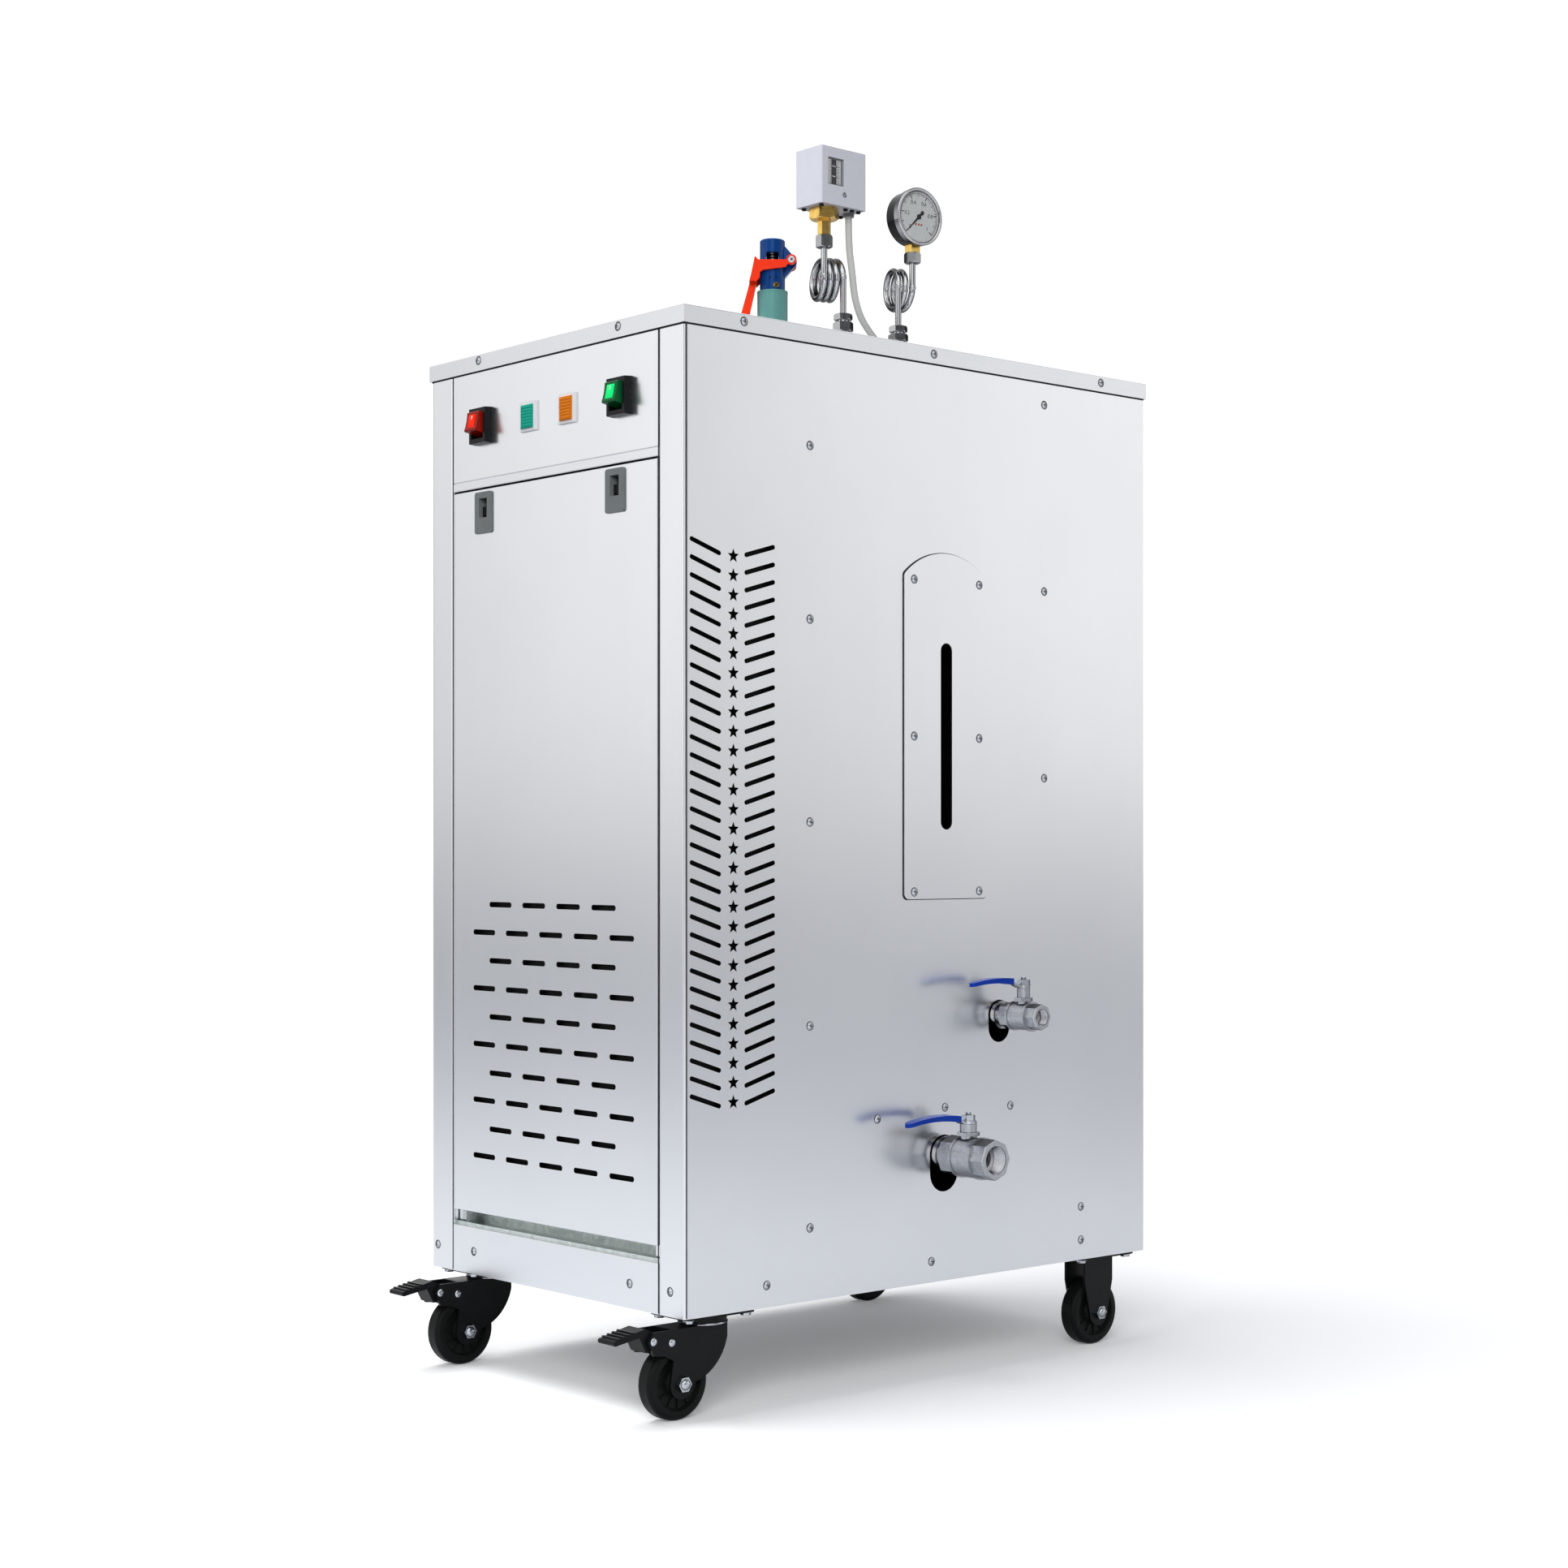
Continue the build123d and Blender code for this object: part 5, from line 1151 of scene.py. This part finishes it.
def round_the_bonnet(across, rise, radius):
    """A place on the bonnet's round wall, across from its middle and above the lid."""
    angle = math.asin(across / BONNET_WALL)
    out = FACING * math.cos(angle) + ACROSS * math.sin(angle)
    return set_square(safety + out * radius * MM + Vector((0, 0, rise * MM)), out)


lock = round_the_bonnet(LOCK_ACROSS, LOCK_RISE, 13.9)
lock_screw = turned([(3.3, -0.5), (3.3, 1.0), (2.8, 1.7), (0, 1.8)], 24)
fitting("safety_lock_screw", [(lock_screw, lock)], brass, "cabinet")
# The lock screw's slot and the weep holes are dark marks of painted shade.
weep_hole_shade = turned([(0.9, -0.2), (0.9, 0.2), (0, 0.25)], 12)
parts = [(slab(4.6, 0.8, 1.4, 1.9), lock @ Matrix.Rotation(0.7, 4, "Z"))]
for across, rise in ((-2.5, 103), (4.0, 104)):
    parts.append((weep_hole_shade, round_the_bonnet(across, rise, 14.1)))
fitting("safety_slot_and_hole_shades", parts, shadow_black, "cabinet")

# %% Pivot heads and body bands
PIVOT_ACROSS, PIVOT_HALF, PIVOT_RISE = 21.4, 18.5, 122.4
BAND_RISES = (18.4, 88.0)

pivot_head = turned(
    [(3.9, -0.2), (3.9, 0.5), (3.2, 1.1), (1.6, 1.2), (1.3, 0.7), (0, 0.6)], 24,
)
# A dark dome in each head's hollow is painted shade.
pivot_hole_shade = turned([(1.25, 0.65), (0, 0.85)], 16)
heads, hole_shades = [], []
for side in (-1, 1):
    out = FACING * side
    spot = safety + MM * (ACROSS * PIVOT_ACROSS + out * PIVOT_HALF + UP * PIVOT_RISE)
    heads.append((pivot_head, set_square(spot, out)))
    hole_shades.append((pivot_hole_shade, set_square(spot, out)))
fitting("safety_pivot_heads", heads, zinc_plate, "safety_lever")
fitting("safety_pivot_hole_shades", hole_shades, shadow_black, "safety_lever")

bands = []
for rise in BAND_RISES:
    profile = [(17.1, -0.5), (17.45, -0.3), (17.45, 0.3), (17.1, 0.5)]
    band = turned([(radius, rise + height) for radius, height in profile], 48)
    bands.append((band, safety_upright))
fitting("safety_body_bands", bands, teal_enamel, "cabinet")

# %% [markdown]
# ## Pressure switch
# Its cover is a pale painted box with one window on the valve side. Behind the pane a dark slot
# and two pointers run between two short scales. They could be one flat drawing, but seen from
# aside the pointers shift against the card, so each layer is a thin plate at its own depth.

# %% Scale card, marks and pointers
SWITCH_ACROSS, SWITCH_BACK, SWITCH_FOOT = -7.735, 402.6, 198.5
CASE_HALF_WIDTH, CASE_HALF_DEPTH = 22.5, 34.5
WINDOW_BACK, WINDOW_RISE = SWITCH_BACK - 12.3, SWITCH_FOOT + 37.85
MARKS, MARK_PITCH = 13, 2
POINTER_RISES = (-5.5, 6.0)

window_face = set_square(on_lid(SWITCH_ACROSS + CASE_HALF_WIDTH, WINDOW_BACK, WINDOW_RISE), SIDE)
card = [slab(23.6, 30.6, -3.0, -2.4)]
scales = [slab(width, 27, -2.4, -1.9, 0.1, x=x) for width, x in ((6.5, 5.8), (4.0, -7.6))]
ink = [slab(6.2, 28, -2.4, -1.6, 0.1, x=-1.6)]
for step in range(MARKS):
    y = (step - (MARKS - 1) / 2) * MARK_PITCH
    width = 3.6 if step % 3 == 0 else 2.2
    ink.append(slab(width, 0.5, -1.95, -1.8, x=3.0 + width / 2, y=y))
    ink.append(slab(width * 0.7, 0.5, -1.95, -1.8, x=-5.8 - width * 0.35, y=y))
pointers = [slab(7.6, 1.5, -1.6, -1.0, 0.2, x=-1.6, y=y) for y in POINTER_RISES]
pane_plate = [slab(23.6, 30.6, -0.7, -0.3)]
for name, shapes, material, slot_name in (
    ("switch_scale_card", card, latch_grey, "latch_grey"),
    ("switch_scales", scales, dial_card, "dial_white"),
    ("switch_scale_marks", ink, ink_black, "gauge_black"),
    ("switch_pointers", pointers, zinc_plate, "zinc_plate"),
    ("switch_window_pane", pane_plate, clear_glass, "level_glass"),
):
    parts = [(shape, window_face) for shape in shapes]
    fitting(name, parts, material, "cabinet")

# %% Cover screw and studs of the switch
STUDS_ACROSS, STUDS_BACK = (-15, 15), (-28, 9, 19, 29)

screw_face = set_square(
    on_lid(
        SWITCH_ACROSS + CASE_HALF_WIDTH, SWITCH_BACK - CASE_HALF_DEPTH + 35.4,
        SWITCH_FOOT + 13.3,
    ),
    SIDE,
)
cover_screw = turned([(2.6, -0.2), (2.6, 0.4), (2.0, 0.8), (0, 0.85)], 24)
fitting("switch_cover_screw", [(cover_screw, screw_face)], zinc_plate, "cabinet")
# The screw's slot and a ring round it are painted shade.
parts = [
    (slab(4.4, 1.0, 0.6, 0.95), screw_face @ Matrix.Rotation(-0.9, 4, "Z")),
    (turned([(3.1, -0.1), (3.1, 0.06), (2.6, 0.06)], 24), screw_face),
]
fitting("switch_cover_screw_shades", parts, shadow_black, "cabinet")

stud = turned([(2.7, -0.2), (2.7, 2.2), (2.2, 2.8), (0, 2.9)], 16)
studs = []
for across in STUDS_ACROSS:
    for back in STUDS_BACK:
        spot = on_lid(SWITCH_ACROSS + across, SWITCH_BACK + back, SWITCH_FOOT)
        studs.append((stud, set_square(spot, DOWN, BACK)))
fitting("switch_under_studs", studs, black_enamel, "cabinet")

# %% [markdown]
# ## Pressure gauge
# The dial carries a three-quarter circle of marks with plain numbers from 0 to 1, and the needle
# rests on zero. The whole face is turned a few degrees towards the front. Real marks are printed
# and have no height. An image would do for that, but it blurs close up, so each mark is a slab a
# tenth of a millimetre high, and the numbers are text that is made a mesh.

# %% Marks on the dial
GAUGE_TURN = math.radians(-4.4)
GAUGE_OUT = Vector((math.cos(GAUGE_TURN), math.sin(GAUGE_TURN), 0))
CARD_OUT = 11.5
SCALE_START, SCALE_SWEEP = 225, 270
TICKS = 50
SCALE_RADIUS, ARC_WIDTH = 27.2, 0.4
ARC_END_DROP, ARC_END_ACROSS = 19.728, 19.3
PRINT_LOW, PRINT_HIGH = 0.02, 0.1

gauge_centre = on_lid(6.01, 519.4, 204.4)
dial = set_square(gauge_centre + GAUGE_OUT * CARD_OUT * MM, GAUGE_OUT)


def scale_angle(value):
    """The angle on the dial of a value from 0 to 1, clockwise from the lower left."""
    return math.radians(SCALE_START - SCALE_SWEEP * value)


ticks = []
for step in range(TICKS + 1):
    length, width = (4.8, 1.1) if step % 10 == 0 else (3.6, 0.75) if step % 5 == 0 else (2.2, 0.4)
    tick = slab(length, width, PRINT_LOW, PRINT_HIGH, x=SCALE_RADIUS - length / 2)
    ticks.append((tick, dial @ Matrix.Rotation(scale_angle(step / TICKS), 4, "Z")))
inner, outer = SCALE_RADIUS, SCALE_RADIUS + ARC_WIDTH
arc = turned(
    [(inner, PRINT_LOW), (inner, PRINT_HIGH), (outer, PRINT_HIGH), (outer, PRINT_LOW)], 120,
)
gap = [
    vert for vert in arc.verts
    if vert.co.y < -ARC_END_DROP and abs(vert.co.x) < ARC_END_ACROSS
]
bmesh.ops.delete(arc, geom=gap, context="VERTS")
ticks.append((arc, dial))
fitting("gauge_ticks", ticks, ink_black, "cabinet")

# %% Numbers and red marks
NUMBER_SIZE, NUMBER_RADIUS, PRINT_RISE = 6.4, 17.8, 0.07
RED_SIZE, RED_PITCH, RED_DROP = 2.4, 4.2, 9.0


def lettering(text, size):
    """Flat text about the origin, in millimetres, as a shape."""
    curve = bpy.data.curves.new("lettering", "FONT")
    curve.body = text
    curve.size = size
    curve.extrude = 0.04
    curve.align_x = "CENTER"
    curve.align_y = "CENTER"
    carrier = bpy.data.objects.new("lettering", curve)
    mesh = bpy.data.meshes.new_from_object(carrier)
    shape = bmesh.new()
    shape.from_mesh(mesh)
    bpy.data.objects.remove(carrier)
    bpy.data.meshes.remove(mesh)
    return shape


numbers = []
for step, text in enumerate(("0", "0.2", "0.4", "0.6", "0.8", "1")):
    angle = scale_angle(step / 5)
    spot = MM * Vector((
        NUMBER_RADIUS * math.cos(angle), NUMBER_RADIUS * math.sin(angle), PRINT_RISE,
    ))
    numbers.append((lettering(text, NUMBER_SIZE), dial @ Matrix.Translation(spot)))
fitting("gauge_numbers", numbers, ink_black, "cabinet")
red_marks = [
    (slab(RED_SIZE, RED_SIZE, PRINT_LOW, PRINT_HIGH, x=x, y=-RED_DROP), dial)
    for x in (-RED_PITCH, 0, RED_PITCH)
]
fitting("gauge_red_marks", red_marks, ink_red, "cabinet")

# %% Needle and pane
NEEDLE_LOW, NEEDLE_HIGH = 0.75, 1.0
PANE_RADIUS, PANE_LOW, PANE_HIGH = 29.6, 2.1, 2.7

lower_edge = [(-9.5, -1.9), (-7.5, -2.3), (-1.5, -1.0), (0, -1.3), (23.5, -0.35)]
upper_edge = [(x, -y) for x, y in reversed(lower_edge)]
blade = prism([*lower_edge, (24.4, 0), *upper_edge], NEEDLE_LOW, NEEDLE_HIGH)
swing = dial @ Matrix.Rotation(scale_angle(0.0), 4, "Z")
hub_cap = turned([(2.9, 0.2), (2.9, 1.4), (2.3, 1.9), (0, 2.0)], 28)
fitting("gauge_needle", [(blade, swing), (hub_cap, dial)], ink_black, "cabinet")
pane_disc = turned(
    [(0, PANE_LOW), (PANE_RADIUS, PANE_LOW), (PANE_RADIUS, PANE_HIGH), (0, PANE_HIGH)], 64,
)
fitting("gauge_pane", [(pane_disc, dial)], clear_glass, "cabinet")

# %% [markdown]
# ## Last update
# The curves report their true size only after an update, so the script ends with one.

# %% Update
bpy.context.view_layer.update()
